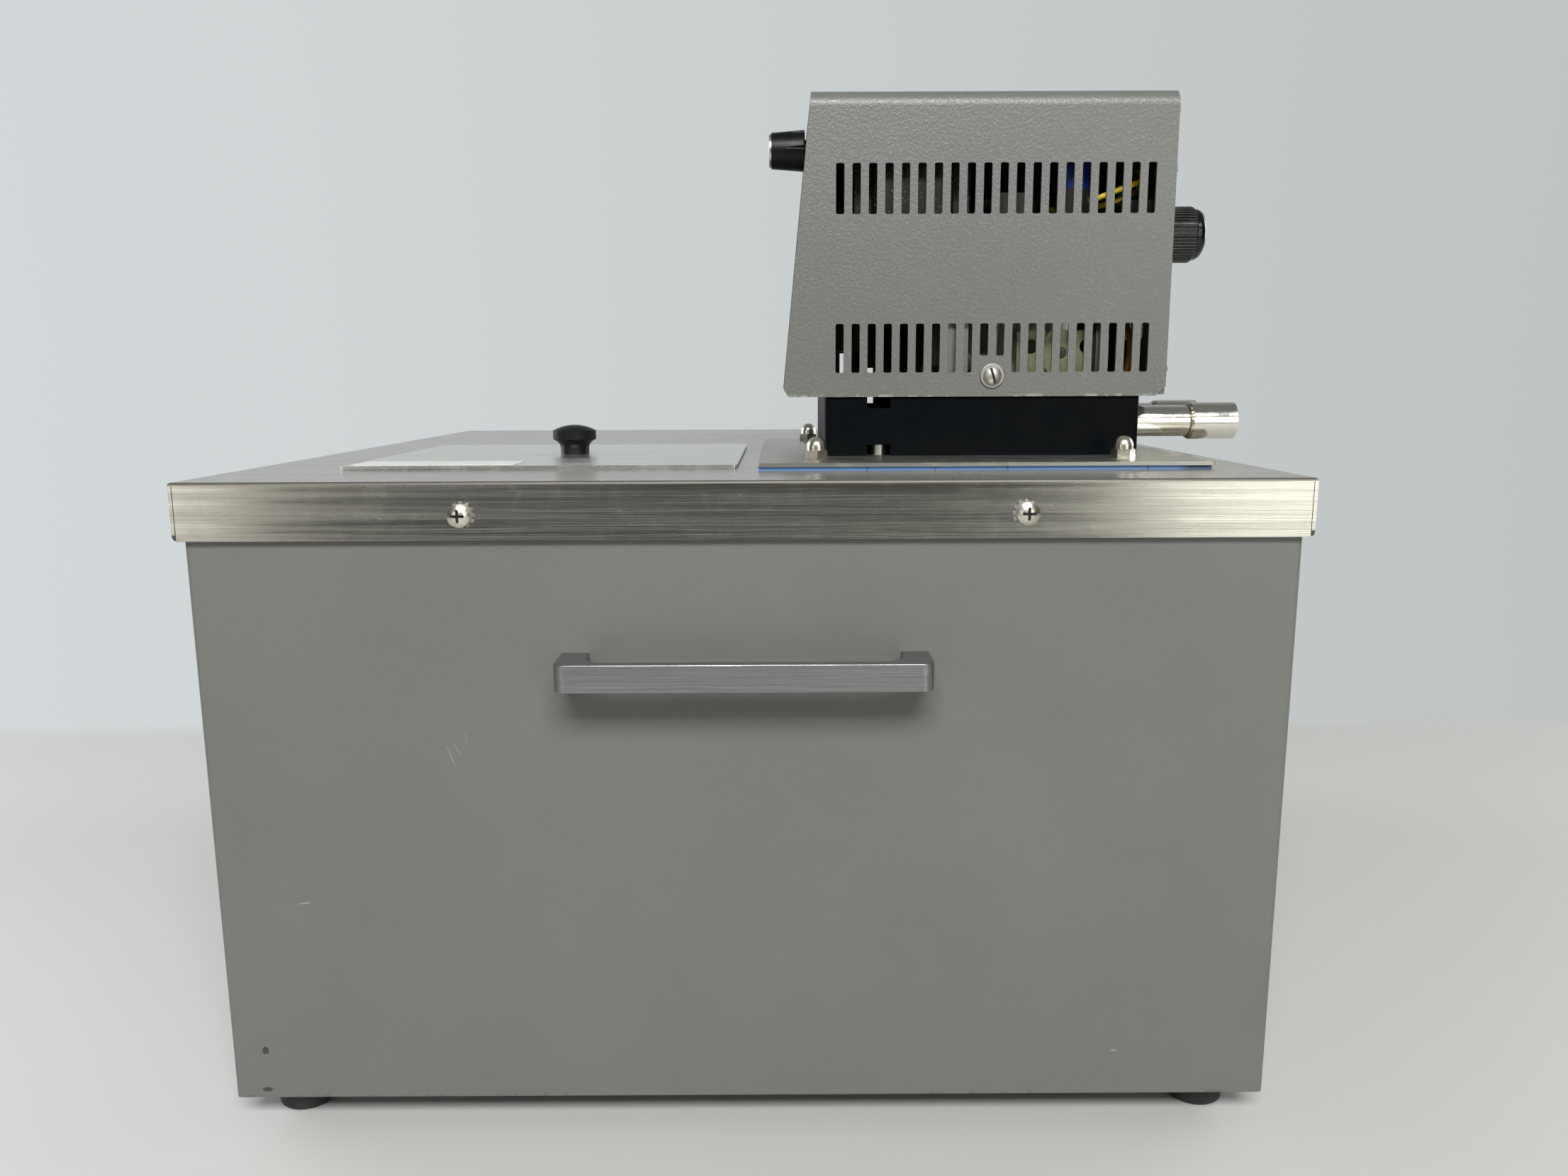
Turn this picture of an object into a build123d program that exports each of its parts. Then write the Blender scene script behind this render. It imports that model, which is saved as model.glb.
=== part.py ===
from build123d import *
import os
from math import cos, pi, sin, sqrt

# Refrigerated circulating water bath: a stainless deck over a painted casing, with a lift-off lid over
# the well and a bolted-on circulator head. Millimetres, Z up. The control panel faces -X, the hose
# sockets face +X, and the origin is on the floor at the middle of the whole object's box.

os.makedirs("parts", exist_ok=True)

# ---- driving dimensions: body ----
DECK_LENGTH = 480.0
DECK_WIDTH = 478.0
DECK_SHEET = 1.5
LIP_HEIGHT = 24.8
LIP_CORNER_GAP = 0.3
SOCKET_OVERHANG = 10.0
CASING_INSET = 3.0
CASING_HEIGHT = 259.0
CASING_SHEET = 1.2
CASING_CORNER = 2.5
RETURN_FLANGE = 42.0
FOOT_HEIGHT = 14.5
FOOT_RADIUS = 14.2
FOOT_INSET = 26.8
HANDLE_LENGTH = 158.0
HANDLE_BAR = 12.0
HANDLE_REACH = 23.0
HANDLE_DROP = 80.0
SCREW_SPACING = 238.0
SCREW_DROP = 14.2

# ---- driving dimensions: well, lid and mounting plate ----
TANK_LENGTH = 417.0
TANK_WIDTH = 202.0
TANK_DEPTH = 200.0
TANK_SHEET = 1.2
TANK_CORNER = 25.0
LID_LENGTH = 187.0
LID_WIDTH = 175.0
LID_SHEET = 0.8
LID_FRONT_GAP = 48.0
LID_SIDE_GAP = 65.0
LID_BORDER = 9.0
PLATE_LENGTH = 210.5
PLATE_WIDTH = 214.0
PLATE_SHEET = 1.7
PLATE_FRONT_GAP = 245.0
HEAD_OPENING = (136.0, 152.0)
STUD_SPACING_X = 148.0
STUD_SPACING_Y = 164.0
STUD_SIDE_GAP = 79.5
STUD_RADIUS = 2.5
STUD_LENGTH = 10.4

# ---- driving dimensions: circulator head ----
HEAD_WIDTH = 120.0
HEAD_HEIGHT = 143.6
HEAD_LENGTH_TOP = 174.5
HEAD_LENGTH_FOOT = 188.1
HEAD_REAR_GAP = 34.7
HEAD_LIFT = 32.4
HEAD_BEND = 7.5
HEAD_SHEET = 1.5
SLOT_COUNT = 20
SLOT_PITCH = 7.85
SLOT_WIDTH = 4.0
SLOT_HEIGHT = 23.5
LOW_SLOT_RISE = 11.7
HIGH_SLOT_RISE = 86.6
SHROUD_LENGTH = 156.0
SHROUD_WIDTH = 117.0
SHROUD_WALL = 3.0
PIPE_RADIUS = 7.95
PIPE_BORE = 6.9
SOCKET_RADIUS = 9.525
SOCKET_BORE = 8.05
SOCKET_LENGTH = 22.4
PIPE_SPACING = 58.0
PIPE_HEIGHT = 19.0
RUNNING_GAP = 0.05
EPS = 0.01

# ---- places worked out from the dimensions above ----
DECK_FRONT = -(DECK_LENGTH + SOCKET_OVERHANG) / 2
DECK_REAR = DECK_FRONT + DECK_LENGTH
DECK_MID = (DECK_FRONT + DECK_REAR) / 2
SIDE = DECK_WIDTH / 2
DECK_TOP = FOOT_HEIGHT + CASING_HEIGHT + LIP_HEIGHT
DECK_UNDER = DECK_TOP - DECK_SHEET
CASING_LENGTH = DECK_LENGTH - 2 * CASING_INSET
CASING_WIDTH = DECK_WIDTH - 2 * CASING_INSET
CASING_SIDE = CASING_WIDTH / 2
CASING_FRONT = DECK_MID - CASING_LENGTH / 2
CASING_REAR = DECK_MID + CASING_LENGTH / 2
FLOOR_TOP = FOOT_HEIGHT + CASING_SHEET
LID_X = DECK_FRONT + LID_FRONT_GAP + LID_LENGTH / 2
LID_Y = -SIDE + LID_SIDE_GAP + LID_WIDTH / 2
PLATE_X = DECK_FRONT + PLATE_FRONT_GAP + PLATE_LENGTH / 2
HEAD_Y = -82.0
GASKET_TOP = DECK_TOP + PLATE_SHEET
PLATE_TOP = GASKET_TOP + PLATE_SHEET
STUD_X = PLATE_X - 3.5
STUD_Y = -SIDE + STUD_SIDE_GAP + STUD_SPACING_Y / 2
HEAD_REAR = DECK_REAR - HEAD_REAR_GAP
HEAD_BOTTOM = DECK_TOP + HEAD_LIFT
HEAD_TOP = HEAD_BOTTOM + HEAD_HEIGHT
COVER_INNER_TOP = HEAD_TOP - HEAD_SHEET
CHASSIS_Z = HEAD_BOTTOM + 0.6
SHROUD_FRONT = 32.5
SHROUD_REAR = SHROUD_FRONT + SHROUD_LENGTH
PANEL_FRONT = 32.0
PANEL_SHEET = 2.0
PANEL_WIDTH = HEAD_WIDTH - 2 * HEAD_SHEET - 0.4
SLOT_MID_X = 114.2
PIPE_Z = DECK_TOP + PIPE_HEIGHT
SOCKET_END = DECK_REAR + SOCKET_OVERHANG
PIPE_Y = (HEAD_Y - 1.5 - PIPE_SPACING / 2, HEAD_Y - 1.5 + PIPE_SPACING / 2)
SHAFT_X = 130.0
SHAFT_RADIUS = 4.0
PUMP_TOP = 178.0
BAY_Y = 140.0


def keep(piece, label):
    """Label a finished piece and write it to its own STEP file."""
    piece.part.label = label
    export_step(piece.part, f"parts/{label}.step")


def facing(point, outward):
    """A plane at point whose normal is the outward horizontal direction, with local Y up."""
    across = (-outward[1], outward[0], 0)
    return Plane(origin=point, x_dir=across, z_dir=outward)


def dome(radius, low, high):
    """Draw the arc of a dome from its rim up to the axis, where it ends level."""
    rise = high - low
    sphere = (radius ** 2 + rise ** 2) / (2 * rise)
    middle = radius / 2
    return ThreePointArc((radius, low), (middle, high - sphere + sqrt(sphere ** 2 - middle ** 2)), (0, high))


def screw_planes(stand_off, ends=(-1, 1)):
    """Planes that stand off the lip's two long sides, at one or both ends of its pair of screws."""
    z = DECK_TOP - SCREW_DROP
    planes = []
    for end in ends:
        offset = end * SCREW_SPACING / 2
        planes.append(facing((DECK_MID + offset, -SIDE - stand_off, z), (0, -1, 0)))
        planes.append(facing((DECK_MID + offset, SIDE + stand_off, z), (0, 1, 0)))
    return planes


def pan_screw(head_radius, head_height, shank_radius, shank_length, slots=2, recess=1.5):
    """A pan-head screw whose head sits on its local XY plane, with a cross or a single slot."""
    with BuildPart() as screw:
        with BuildSketch(Plane.XZ):
            with BuildLine():
                rim = head_height * 0.45
                Line((0, -shank_length), (shank_radius, -shank_length))
                Line((shank_radius, -shank_length), (shank_radius, 0))
                Line((shank_radius, 0), (head_radius, 0))
                Line((head_radius, 0), (head_radius, rim))
                dome(head_radius, rim, head_height)
                Line((0, head_height), (0, -shank_length))
            make_face()
        revolve(axis=Axis.Z)
        cut = head_radius * (2.6 if slots == 1 else 1.15)
        width = head_radius * (0.3 if slots == 1 else 0.24)
        with BuildSketch(Plane.XY.offset(head_height - recess)):
            Rectangle(cut, width)
            if slots == 2:
                Rectangle(width, cut)
        extrude(amount=recess + 1, mode=Mode.SUBTRACT)
    return screw.part


def round_tube(points, radii, radius, bore=0.0):
    """A tube swept along straight runs joined by tangent arcs, hollow when it has a bore."""
    with BuildPart() as tube:
        with BuildLine():
            path = FilletPolyline(*points, radius=radii)
        section = Plane(origin=path @ 0, z_dir=path % 0)
        with BuildSketch(section):
            Circle(radius)
            if bore:
                Circle(bore, mode=Mode.SUBTRACT)
        sweep()
    return tube.part


# ================= body =================
with BuildPart() as deck_top:
    with BuildSketch(Plane.XY.offset(DECK_UNDER)):
        with Locations((DECK_MID, 0)):
            Rectangle(DECK_LENGTH, DECK_WIDTH)
        with Locations((LID_X, LID_Y)):
            RectangleRounded(LID_LENGTH - 2 * LID_BORDER, LID_WIDTH - 2 * LID_BORDER, 8, mode=Mode.SUBTRACT)
        with Locations((STUD_X, STUD_Y)):
            RectangleRounded(*HEAD_OPENING, 8, mode=Mode.SUBTRACT)
    extrude(amount=DECK_SHEET)
    with BuildSketch(Plane.XY.offset(DECK_TOP - LIP_HEIGHT)):
        with Locations((DECK_MID, -SIDE + DECK_SHEET / 2), (DECK_MID, SIDE - DECK_SHEET / 2)):
            Rectangle(DECK_LENGTH - 2 * (DECK_SHEET + LIP_CORNER_GAP), DECK_SHEET)
        with Locations((DECK_FRONT + DECK_SHEET / 2, 0), (DECK_REAR - DECK_SHEET / 2, 0)):
            Rectangle(DECK_SHEET, DECK_WIDTH)
    extrude(amount=LIP_HEIGHT - DECK_SHEET)
    top_edges = deck_top.edges().filter_by_position(Axis.Z, DECK_TOP - EPS, DECK_TOP + EPS)
    fillet([edge for edge in top_edges if edge.length > DECK_WIDTH - 1], 1.3)
    low_edges = deck_top.edges().filter_by(Axis.X).filter_by_position(
        Axis.Z, DECK_TOP - LIP_HEIGHT - EPS, DECK_TOP - LIP_HEIGHT + EPS)
    fillet([edge for edge in low_edges if abs(edge.center().Y) > SIDE - EPS and edge.length < 3], 3)
    with BuildSketch(Plane.XZ.offset(SIDE)):
        with Locations((DECK_MID, DECK_TOP - SCREW_DROP)):
            with GridLocations(SCREW_SPACING, 0, 2, 1):
                Circle(2.7)
    extrude(amount=-DECK_WIDTH, mode=Mode.SUBTRACT)
    with BuildSketch(Plane.XY.offset(DECK_TOP)):
        with Locations((STUD_X, STUD_Y)):
            with GridLocations(STUD_SPACING_X, STUD_SPACING_Y, 2, 2):
                Circle(STUD_RADIUS)
    extrude(amount=STUD_LENGTH)
keep(deck_top, "deck_top")

# The casing is one folded wrap with a return flange at the floor and slotted air grilles at both ends
# of the refrigeration bay.
GRILLE_Z = 120.0
GRILLE_HEIGHT = 150.0
GRILLE_SLOTS = 16
GRILLE_PITCH = 9.0
GRILLE_SLOT = 4.0
with BuildPart() as casing:
    with BuildSketch(Plane.XY.offset(FOOT_HEIGHT)):
        with Locations((DECK_MID, 0)):
            RectangleRounded(CASING_LENGTH, CASING_WIDTH, CASING_CORNER)
    extrude(amount=DECK_UNDER - FOOT_HEIGHT)
    with BuildSketch(Plane.XY.offset(FLOOR_TOP)):
        with Locations((DECK_MID, 0)):
            RectangleRounded(CASING_LENGTH - 2 * CASING_SHEET, CASING_WIDTH - 2 * CASING_SHEET,
                             CASING_CORNER - CASING_SHEET)
    extrude(amount=DECK_UNDER - FLOOR_TOP, mode=Mode.SUBTRACT)
    with BuildSketch(Plane.XY.offset(FOOT_HEIGHT)):
        with Locations((DECK_MID, 0)):
            Rectangle(CASING_LENGTH - 2 * RETURN_FLANGE, CASING_WIDTH - 2 * RETURN_FLANGE)
            with GridLocations(DECK_LENGTH - 2 * FOOT_INSET, DECK_WIDTH - 2 * FOOT_INSET, 2, 2):
                Circle(2.6)
    extrude(amount=CASING_SHEET, mode=Mode.SUBTRACT)
    with BuildSketch(Plane.XZ.offset(CASING_SIDE)):
        with Locations((DECK_MID, DECK_TOP - SCREW_DROP)):
            with GridLocations(SCREW_SPACING, 0, 2, 1):
                Circle(2.5)
        with Locations((DECK_MID, DECK_TOP - HANDLE_DROP)):
            with GridLocations(HANDLE_LENGTH - HANDLE_BAR, 0, 2, 1):
                Circle(2.3)
    extrude(amount=-CASING_WIDTH, mode=Mode.SUBTRACT)
    with BuildSketch(Plane.YZ.offset(CASING_FRONT)):
        with Locations((BAY_Y, GRILLE_Z)):
            with GridLocations(GRILLE_PITCH, GRILLE_HEIGHT / 2 + 6, GRILLE_SLOTS, 2):
                SlotOverall(GRILLE_HEIGHT / 2, GRILLE_SLOT, rotation=90)
    extrude(amount=CASING_LENGTH, mode=Mode.SUBTRACT)
keep(casing, "casing")

with BuildPart() as base_pan:
    with BuildSketch(Plane.XY.offset(FLOOR_TOP)):
        with Locations((DECK_MID, 0)):
            RectangleRounded(CASING_LENGTH - 2 * CASING_SHEET - 0.6, CASING_WIDTH - 2 * CASING_SHEET - 0.6, 2)
            with GridLocations(DECK_LENGTH - 2 * FOOT_INSET, DECK_WIDTH - 2 * FOOT_INSET, 2, 2):
                Circle(2.6, mode=Mode.SUBTRACT)
        with Locations((DECK_MID, BAY_Y)):
            with GridLocations(14, 60, 20, 2):
                SlotOverall(50, 5, rotation=90, mode=Mode.SUBTRACT)
    extrude(amount=CASING_SHEET)
keep(base_pan, "base_pan")

with BuildPart() as feet:
    with BuildSketch(Plane.XZ):
        with BuildLine():
            Polyline((5.5, 0), (FOOT_RADIUS - 2.2, 0), (FOOT_RADIUS - 1.0, 1.2),
                     (FOOT_RADIUS, FOOT_HEIGHT - 0.8), (FOOT_RADIUS - 0.8, FOOT_HEIGHT),
                     (2.6, FOOT_HEIGHT), (2.6, 8), (5.5, 8), close=True)
        make_face()
    revolve(axis=Axis.Z)
foot_solid = feet.part
with BuildPart() as feet:
    with Locations((DECK_MID, 0)):
        with GridLocations(DECK_LENGTH - 2 * FOOT_INSET, DECK_WIDTH - 2 * FOOT_INSET, 2, 2):
            add(foot_solid)
keep(feet, "feet")

foot_screw_solid = pan_screw(4.6, 3.2, 2.4, 14.0)
with BuildPart() as foot_screws:
    with Locations(Plane(origin=(DECK_MID, 0, 8), z_dir=(0, 0, -1))):
        with GridLocations(DECK_LENGTH - 2 * FOOT_INSET, DECK_WIDTH - 2 * FOOT_INSET, 2, 2):
            add(foot_screw_solid)
keep(foot_screws, "foot_screws")

# ---- deck fasteners: pan heads over external-tooth washers that sit a little off centre ----
WASHER_SHEET = 0.6
deck_screw_solid = pan_screw(4.85, 3.3, 2.2, 9.0)
with BuildPart() as deck_screws:
    with Locations(*screw_planes(WASHER_SHEET)):
        add(deck_screw_solid)
keep(deck_screws, "deck_screws")

with BuildPart() as washer_block:
    with BuildSketch():
        Circle(4.7)
        with PolarLocations(4.9, 12):
            Rectangle(1.5, 1.25)
        Circle(3.2, mode=Mode.SUBTRACT)
    extrude(amount=WASHER_SHEET)
with BuildPart() as tooth_washers:
    for end in (-1, 1):
        with Locations(*screw_planes(0, [end])):
            with Locations((-0.8 * end, 0.2)):
                add(washer_block.part)
keep(tooth_washers, "tooth_washers")


# ---- carrying handles ----
def handle_profile():
    """Plan of a bar pull: thick legs, a thinner grip, soft outer corners."""
    half = HANDLE_LENGTH / 2
    with BuildSketch() as outline:
        with Locations((0, HANDLE_REACH / 2)):
            Rectangle(HANDLE_LENGTH, HANDLE_REACH)
        fillet(outline.vertices().group_by(Axis.Y)[-1], 5)
        with BuildSketch(mode=Mode.SUBTRACT) as gap:
            with Locations((0, (HANDLE_REACH - 5) / 2)):
                Rectangle(2 * (half - HANDLE_BAR), HANDLE_REACH - 5)
            fillet(gap.vertices().group_by(Axis.Y)[-1], 9)
    return outline.sketch


with BuildPart() as handle_block:
    with BuildSketch(Plane.XY.offset(-HANDLE_BAR / 2)):
        add(handle_profile())
    extrude(amount=HANDLE_BAR)
    fillet(handle_block.faces().filter_by(Axis.Z).edges().filter_by_position(Axis.Y, 1, 100), 0.5)
    with Locations(Plane(origin=(0, 0, 0), x_dir=(1, 0, 0), z_dir=(0, -1, 0))):
        with GridLocations(HANDLE_LENGTH - HANDLE_BAR, 0, 2, 1):
            Hole(2.0, depth=12)
handle_z = DECK_TOP - HANDLE_DROP
with BuildPart() as right_handle:
    with Locations(Location((DECK_MID, -CASING_SIDE, handle_z), (0, 0, 180))):
        add(handle_block.part)
keep(right_handle, "right_handle")

with BuildPart() as left_handle:
    with Locations((DECK_MID, CASING_SIDE, handle_z)):
        add(handle_block.part)
keep(left_handle, "left_handle")

handle_screw_solid = pan_screw(4.2, 2.6, 1.95, 10.0)
inner_side = CASING_SIDE - CASING_SHEET
with BuildPart() as handle_screws:
    for direction in (-1, 1):
        with Locations(facing((DECK_MID, direction * inner_side, handle_z), (0, -direction, 0))):
            with GridLocations(HANDLE_LENGTH - HANDLE_BAR, 0, 2, 1):
                add(handle_screw_solid)
keep(handle_screws, "handle_screws")

# ================= well =================
TANK_X = -3.5
TANK_Y = HEAD_Y
TANK_FLOOR = DECK_UNDER - TANK_DEPTH
with BuildPart() as bath_tank:
    with BuildSketch(Plane.XY.offset(TANK_FLOOR)):
        with Locations((TANK_X, TANK_Y)):
            RectangleRounded(TANK_LENGTH, TANK_WIDTH, TANK_CORNER)
    extrude(amount=TANK_DEPTH)
    fillet(bath_tank.edges().group_by(Axis.Z)[0], 12)
    offset(amount=-TANK_SHEET, openings=bath_tank.faces().sort_by(Axis.Z)[-1])
    with BuildSketch(Plane.XY.offset(DECK_UNDER - TANK_SHEET)):
        with Locations((TANK_X, TANK_Y)):
            RectangleRounded(TANK_LENGTH + 16, TANK_WIDTH + 16, TANK_CORNER + 8)
            RectangleRounded(TANK_LENGTH - 2 * TANK_SHEET, TANK_WIDTH - 2 * TANK_SHEET,
                             TANK_CORNER - TANK_SHEET, mode=Mode.SUBTRACT)
    extrude(amount=TANK_SHEET)
keep(bath_tank, "bath_tank")

# Foam jacket: leaves a channel round the tank for the cooling coil.
COIL_CHANNEL = 11.0
JACKET_WALL = 10.0
JACKET_FLOOR = 40.0
with BuildPart() as foam_jacket:
    with BuildSketch(Plane.XY.offset(TANK_FLOOR - JACKET_FLOOR)):
        with Locations((TANK_X, TANK_Y)):
            Rectangle(TANK_LENGTH + 2 * (COIL_CHANNEL + JACKET_WALL) - 4,
                      TANK_WIDTH + 2 * (COIL_CHANNEL + JACKET_WALL))
    extrude(amount=TANK_DEPTH + JACKET_FLOOR - TANK_SHEET - 0.3)
    with BuildSketch(Plane.XY.offset(TANK_FLOOR)):
        with Locations((TANK_X, TANK_Y)):
            RectangleRounded(TANK_LENGTH + 2 * COIL_CHANNEL, TANK_WIDTH + 2 * COIL_CHANNEL,
                             TANK_CORNER + COIL_CHANNEL)
    extrude(amount=TANK_DEPTH, mode=Mode.SUBTRACT)
    with BuildSketch(Plane.XZ.offset(-TANK_Y)):
        with Locations((150, TANK_FLOOR + 40), (180, TANK_FLOOR + 40)):
            Circle(5)
    extrude(amount=-(TANK_WIDTH / 2 + COIL_CHANNEL + JACKET_WALL + 1), mode=Mode.SUBTRACT)
keep(foam_jacket, "foam_jacket")

COIL_TUBE = 4.0
coil_reach_x = TANK_LENGTH / 2 + COIL_CHANNEL / 2
coil_reach_y = TANK_WIDTH / 2 + COIL_CHANNEL / 2
with BuildPart() as evaporator_coil:
    for turn in range(5):
        height = TANK_FLOOR + 40 + turn * 22
        with BuildLine():
            FilletPolyline((TANK_X - coil_reach_x, TANK_Y - 6, height),
                           (TANK_X - coil_reach_x, TANK_Y - coil_reach_y, height),
                           (TANK_X + coil_reach_x, TANK_Y - coil_reach_y, height),
                           (TANK_X + coil_reach_x, TANK_Y + coil_reach_y, height),
                           (TANK_X - coil_reach_x, TANK_Y + coil_reach_y, height),
                           (TANK_X - coil_reach_x, TANK_Y + 6, height),
                           radius=TANK_CORNER + COIL_CHANNEL / 2)
        with BuildSketch(Plane(origin=(TANK_X - coil_reach_x, TANK_Y - 6, height), z_dir=(0, -1, 0))):
            Circle(COIL_TUBE)
        sweep()
keep(evaporator_coil, "evaporator_coil")

# ================= lid =================
HEM_WIDTH = 12.0
LID_TOP = DECK_TOP + 2 * LID_SHEET + 0.1
RIM_CLEARANCE = 2.5
RIM_DEPTH = 9.0
with BuildPart() as lid:
    with BuildSketch(Plane.XY.offset(LID_TOP - LID_SHEET)):
        with Locations((LID_X, LID_Y)):
            RectangleRounded(LID_LENGTH, LID_WIDTH, 1.5)
    extrude(amount=LID_SHEET)
    with BuildSketch(Plane.XY.offset(LID_TOP - 2 * LID_SHEET)):
        with Locations((LID_X, LID_Y)):
            RectangleRounded(LID_LENGTH - 0.8, LID_WIDTH - 0.8, 1.2)
            RectangleRounded(LID_LENGTH - 2 * HEM_WIDTH, LID_WIDTH - 2 * HEM_WIDTH, 6, mode=Mode.SUBTRACT)
    extrude(amount=LID_SHEET)
    with BuildSketch(Plane.XY.offset(LID_TOP - LID_SHEET - RIM_DEPTH)):
        rim_length = LID_LENGTH - 2 * (LID_BORDER + RIM_CLEARANCE)
        rim_width = LID_WIDTH - 2 * (LID_BORDER + RIM_CLEARANCE)
        with Locations((LID_X, LID_Y)):
            RectangleRounded(rim_length, rim_width, 6)
            RectangleRounded(rim_length - 2.4, rim_width - 2.4, 4.8, mode=Mode.SUBTRACT)
    extrude(amount=RIM_DEPTH)
    with BuildSketch(Plane.XY.offset(LID_TOP - LID_SHEET)):
        with Locations((-101.0, -87.5)):
            Circle(2.2)
    extrude(amount=LID_SHEET, mode=Mode.SUBTRACT)
keep(lid, "lid")

KNOB_PLACE = (-101.0, -87.5, LID_TOP)
with BuildPart() as lid_knob:
    with BuildSketch(Plane(origin=KNOB_PLACE, x_dir=(1, 0, 0), z_dir=(0, -1, 0))):
        with BuildLine():
            Line((2.0, 0), (7.6, 0))
            Line((7.6, 0), (7.6, 2.6))
            ThreePointArc((7.6, 2.6), (8.4, 5.6), (10.9, 7.6))
            Line((10.9, 7.6), (11.45, 8.1))
            Line((11.45, 8.1), (11.45, 12.6))
            dome(11.45, 12.6, 15.6)
            Line((0, 15.6), (0, -3.2))
            Line((0, -3.2), (3.8, -3.2))
            Line((3.8, -3.2), (3.8, -LID_SHEET))
            Line((3.8, -LID_SHEET), (2.0, -LID_SHEET))
            Line((2.0, -LID_SHEET), (2.0, 0))
        make_face()
    revolve(axis=Axis(KNOB_PLACE, (0, 0, 1)))
    with BuildSketch(Plane.XY.offset(LID_TOP + 7.4)):
        with Locations(KNOB_PLACE[:2]):
            with PolarLocations(11.75, 72):
                Circle(0.42)
    extrude(amount=5.6, mode=Mode.SUBTRACT)
keep(lid_knob, "lid_knob")

# ================= mounting plate =================
HEATER_X = 62.0
HEATER_REACH = 22.0
HEATER_TUBE = 4.0
HEATER_LEG_OFFSET = 9.0
HEATER_LEGS = ((HEATER_X - HEATER_LEG_OFFSET, HEAD_Y), (HEATER_X + HEATER_LEG_OFFSET, HEAD_Y))
PROBE_PLACE = (86.0, HEAD_Y + 46)
FLOAT_PLACE = (60.0, HEAD_Y - 46)
PIPE_DROP_X = 132.0
COLUMN_RADIUS = 4.0
COLUMN_RING = 31.0
COLUMN_ANGLES = (0, 135, 225)
columns = [(SHAFT_X + COLUMN_RING * cos(angle * pi / 180), HEAD_Y + COLUMN_RING * sin(angle * pi / 180))
           for angle in COLUMN_ANGLES]

with BuildPart() as plate_gasket:
    with BuildSketch(Plane.XY.offset(DECK_TOP)):
        with Locations((PLATE_X - 0.75, HEAD_Y)):
            Rectangle(PLATE_LENGTH - 2.1, PLATE_WIDTH - 3)
        with Locations((STUD_X, STUD_Y)):
            RectangleRounded(*HEAD_OPENING, 8, mode=Mode.SUBTRACT)
        with Locations((STUD_X, STUD_Y)):
            with GridLocations(STUD_SPACING_X, STUD_SPACING_Y, 2, 2):
                Circle(3.2, mode=Mode.SUBTRACT)
    extrude(amount=PLATE_SHEET)
keep(plate_gasket, "plate_gasket")

with BuildPart() as mounting_plate:
    with BuildSketch(Plane.XY.offset(GASKET_TOP)):
        with Locations((PLATE_X, HEAD_Y)):
            RectangleRounded(PLATE_LENGTH, PLATE_WIDTH, 1.5)
        with Locations((STUD_X, STUD_Y)):
            with GridLocations(STUD_SPACING_X, STUD_SPACING_Y, 2, 2):
                Circle(3.2, mode=Mode.SUBTRACT)
        with Locations((SHAFT_X, HEAD_Y)):
            Circle(12, mode=Mode.SUBTRACT)
        with Locations((PIPE_DROP_X, PIPE_Y[0]), (PIPE_DROP_X, PIPE_Y[1])):
            Circle(PIPE_RADIUS + 0.3, mode=Mode.SUBTRACT)
        with Locations(*HEATER_LEGS):
            Circle(HEATER_TUBE + 0.2, mode=Mode.SUBTRACT)
        with Locations(PROBE_PLACE, FLOAT_PLACE):
            Circle(3.2, mode=Mode.SUBTRACT)
    extrude(amount=PLATE_SHEET)
keep(mounting_plate, "mounting_plate")

NUT_FLATS = 10.0
with BuildPart() as nut_block:
    with BuildSketch():
        RegularPolygon(NUT_FLATS / 2, 6, major_radius=False, rotation=30)
    extrude(amount=11)
    with BuildSketch(Plane.XZ):
        with BuildLine():
            Polyline((0, 0), (5.3, 0), (5.9, 0.35), (5.9, 3.6), (5.2, 4.2), (4.75, 4.2), (4.75, 5.6))
            dome(4.75, 5.6, 10.5)
            Line((0, 10.5), (0, 0))
        make_face()
    revolve(axis=Axis.Z, mode=Mode.INTERSECT)
    with BuildSketch():
        Circle(STUD_RADIUS + RUNNING_GAP)
    extrude(amount=7.4, mode=Mode.SUBTRACT)
with BuildPart() as acorn_nuts:
    turns = {(-1, -1): 4, (1, -1): 17, (-1, 1): -9, (1, 1): 23}
    for (side_x, side_y), turn in turns.items():
        spot = (STUD_X + side_x * STUD_SPACING_X / 2, STUD_Y + side_y * STUD_SPACING_Y / 2, PLATE_TOP)
        with Locations(Location(spot, (0, 0, turn))):
            add(nut_block.part)
keep(acorn_nuts, "acorn_nuts")

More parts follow.
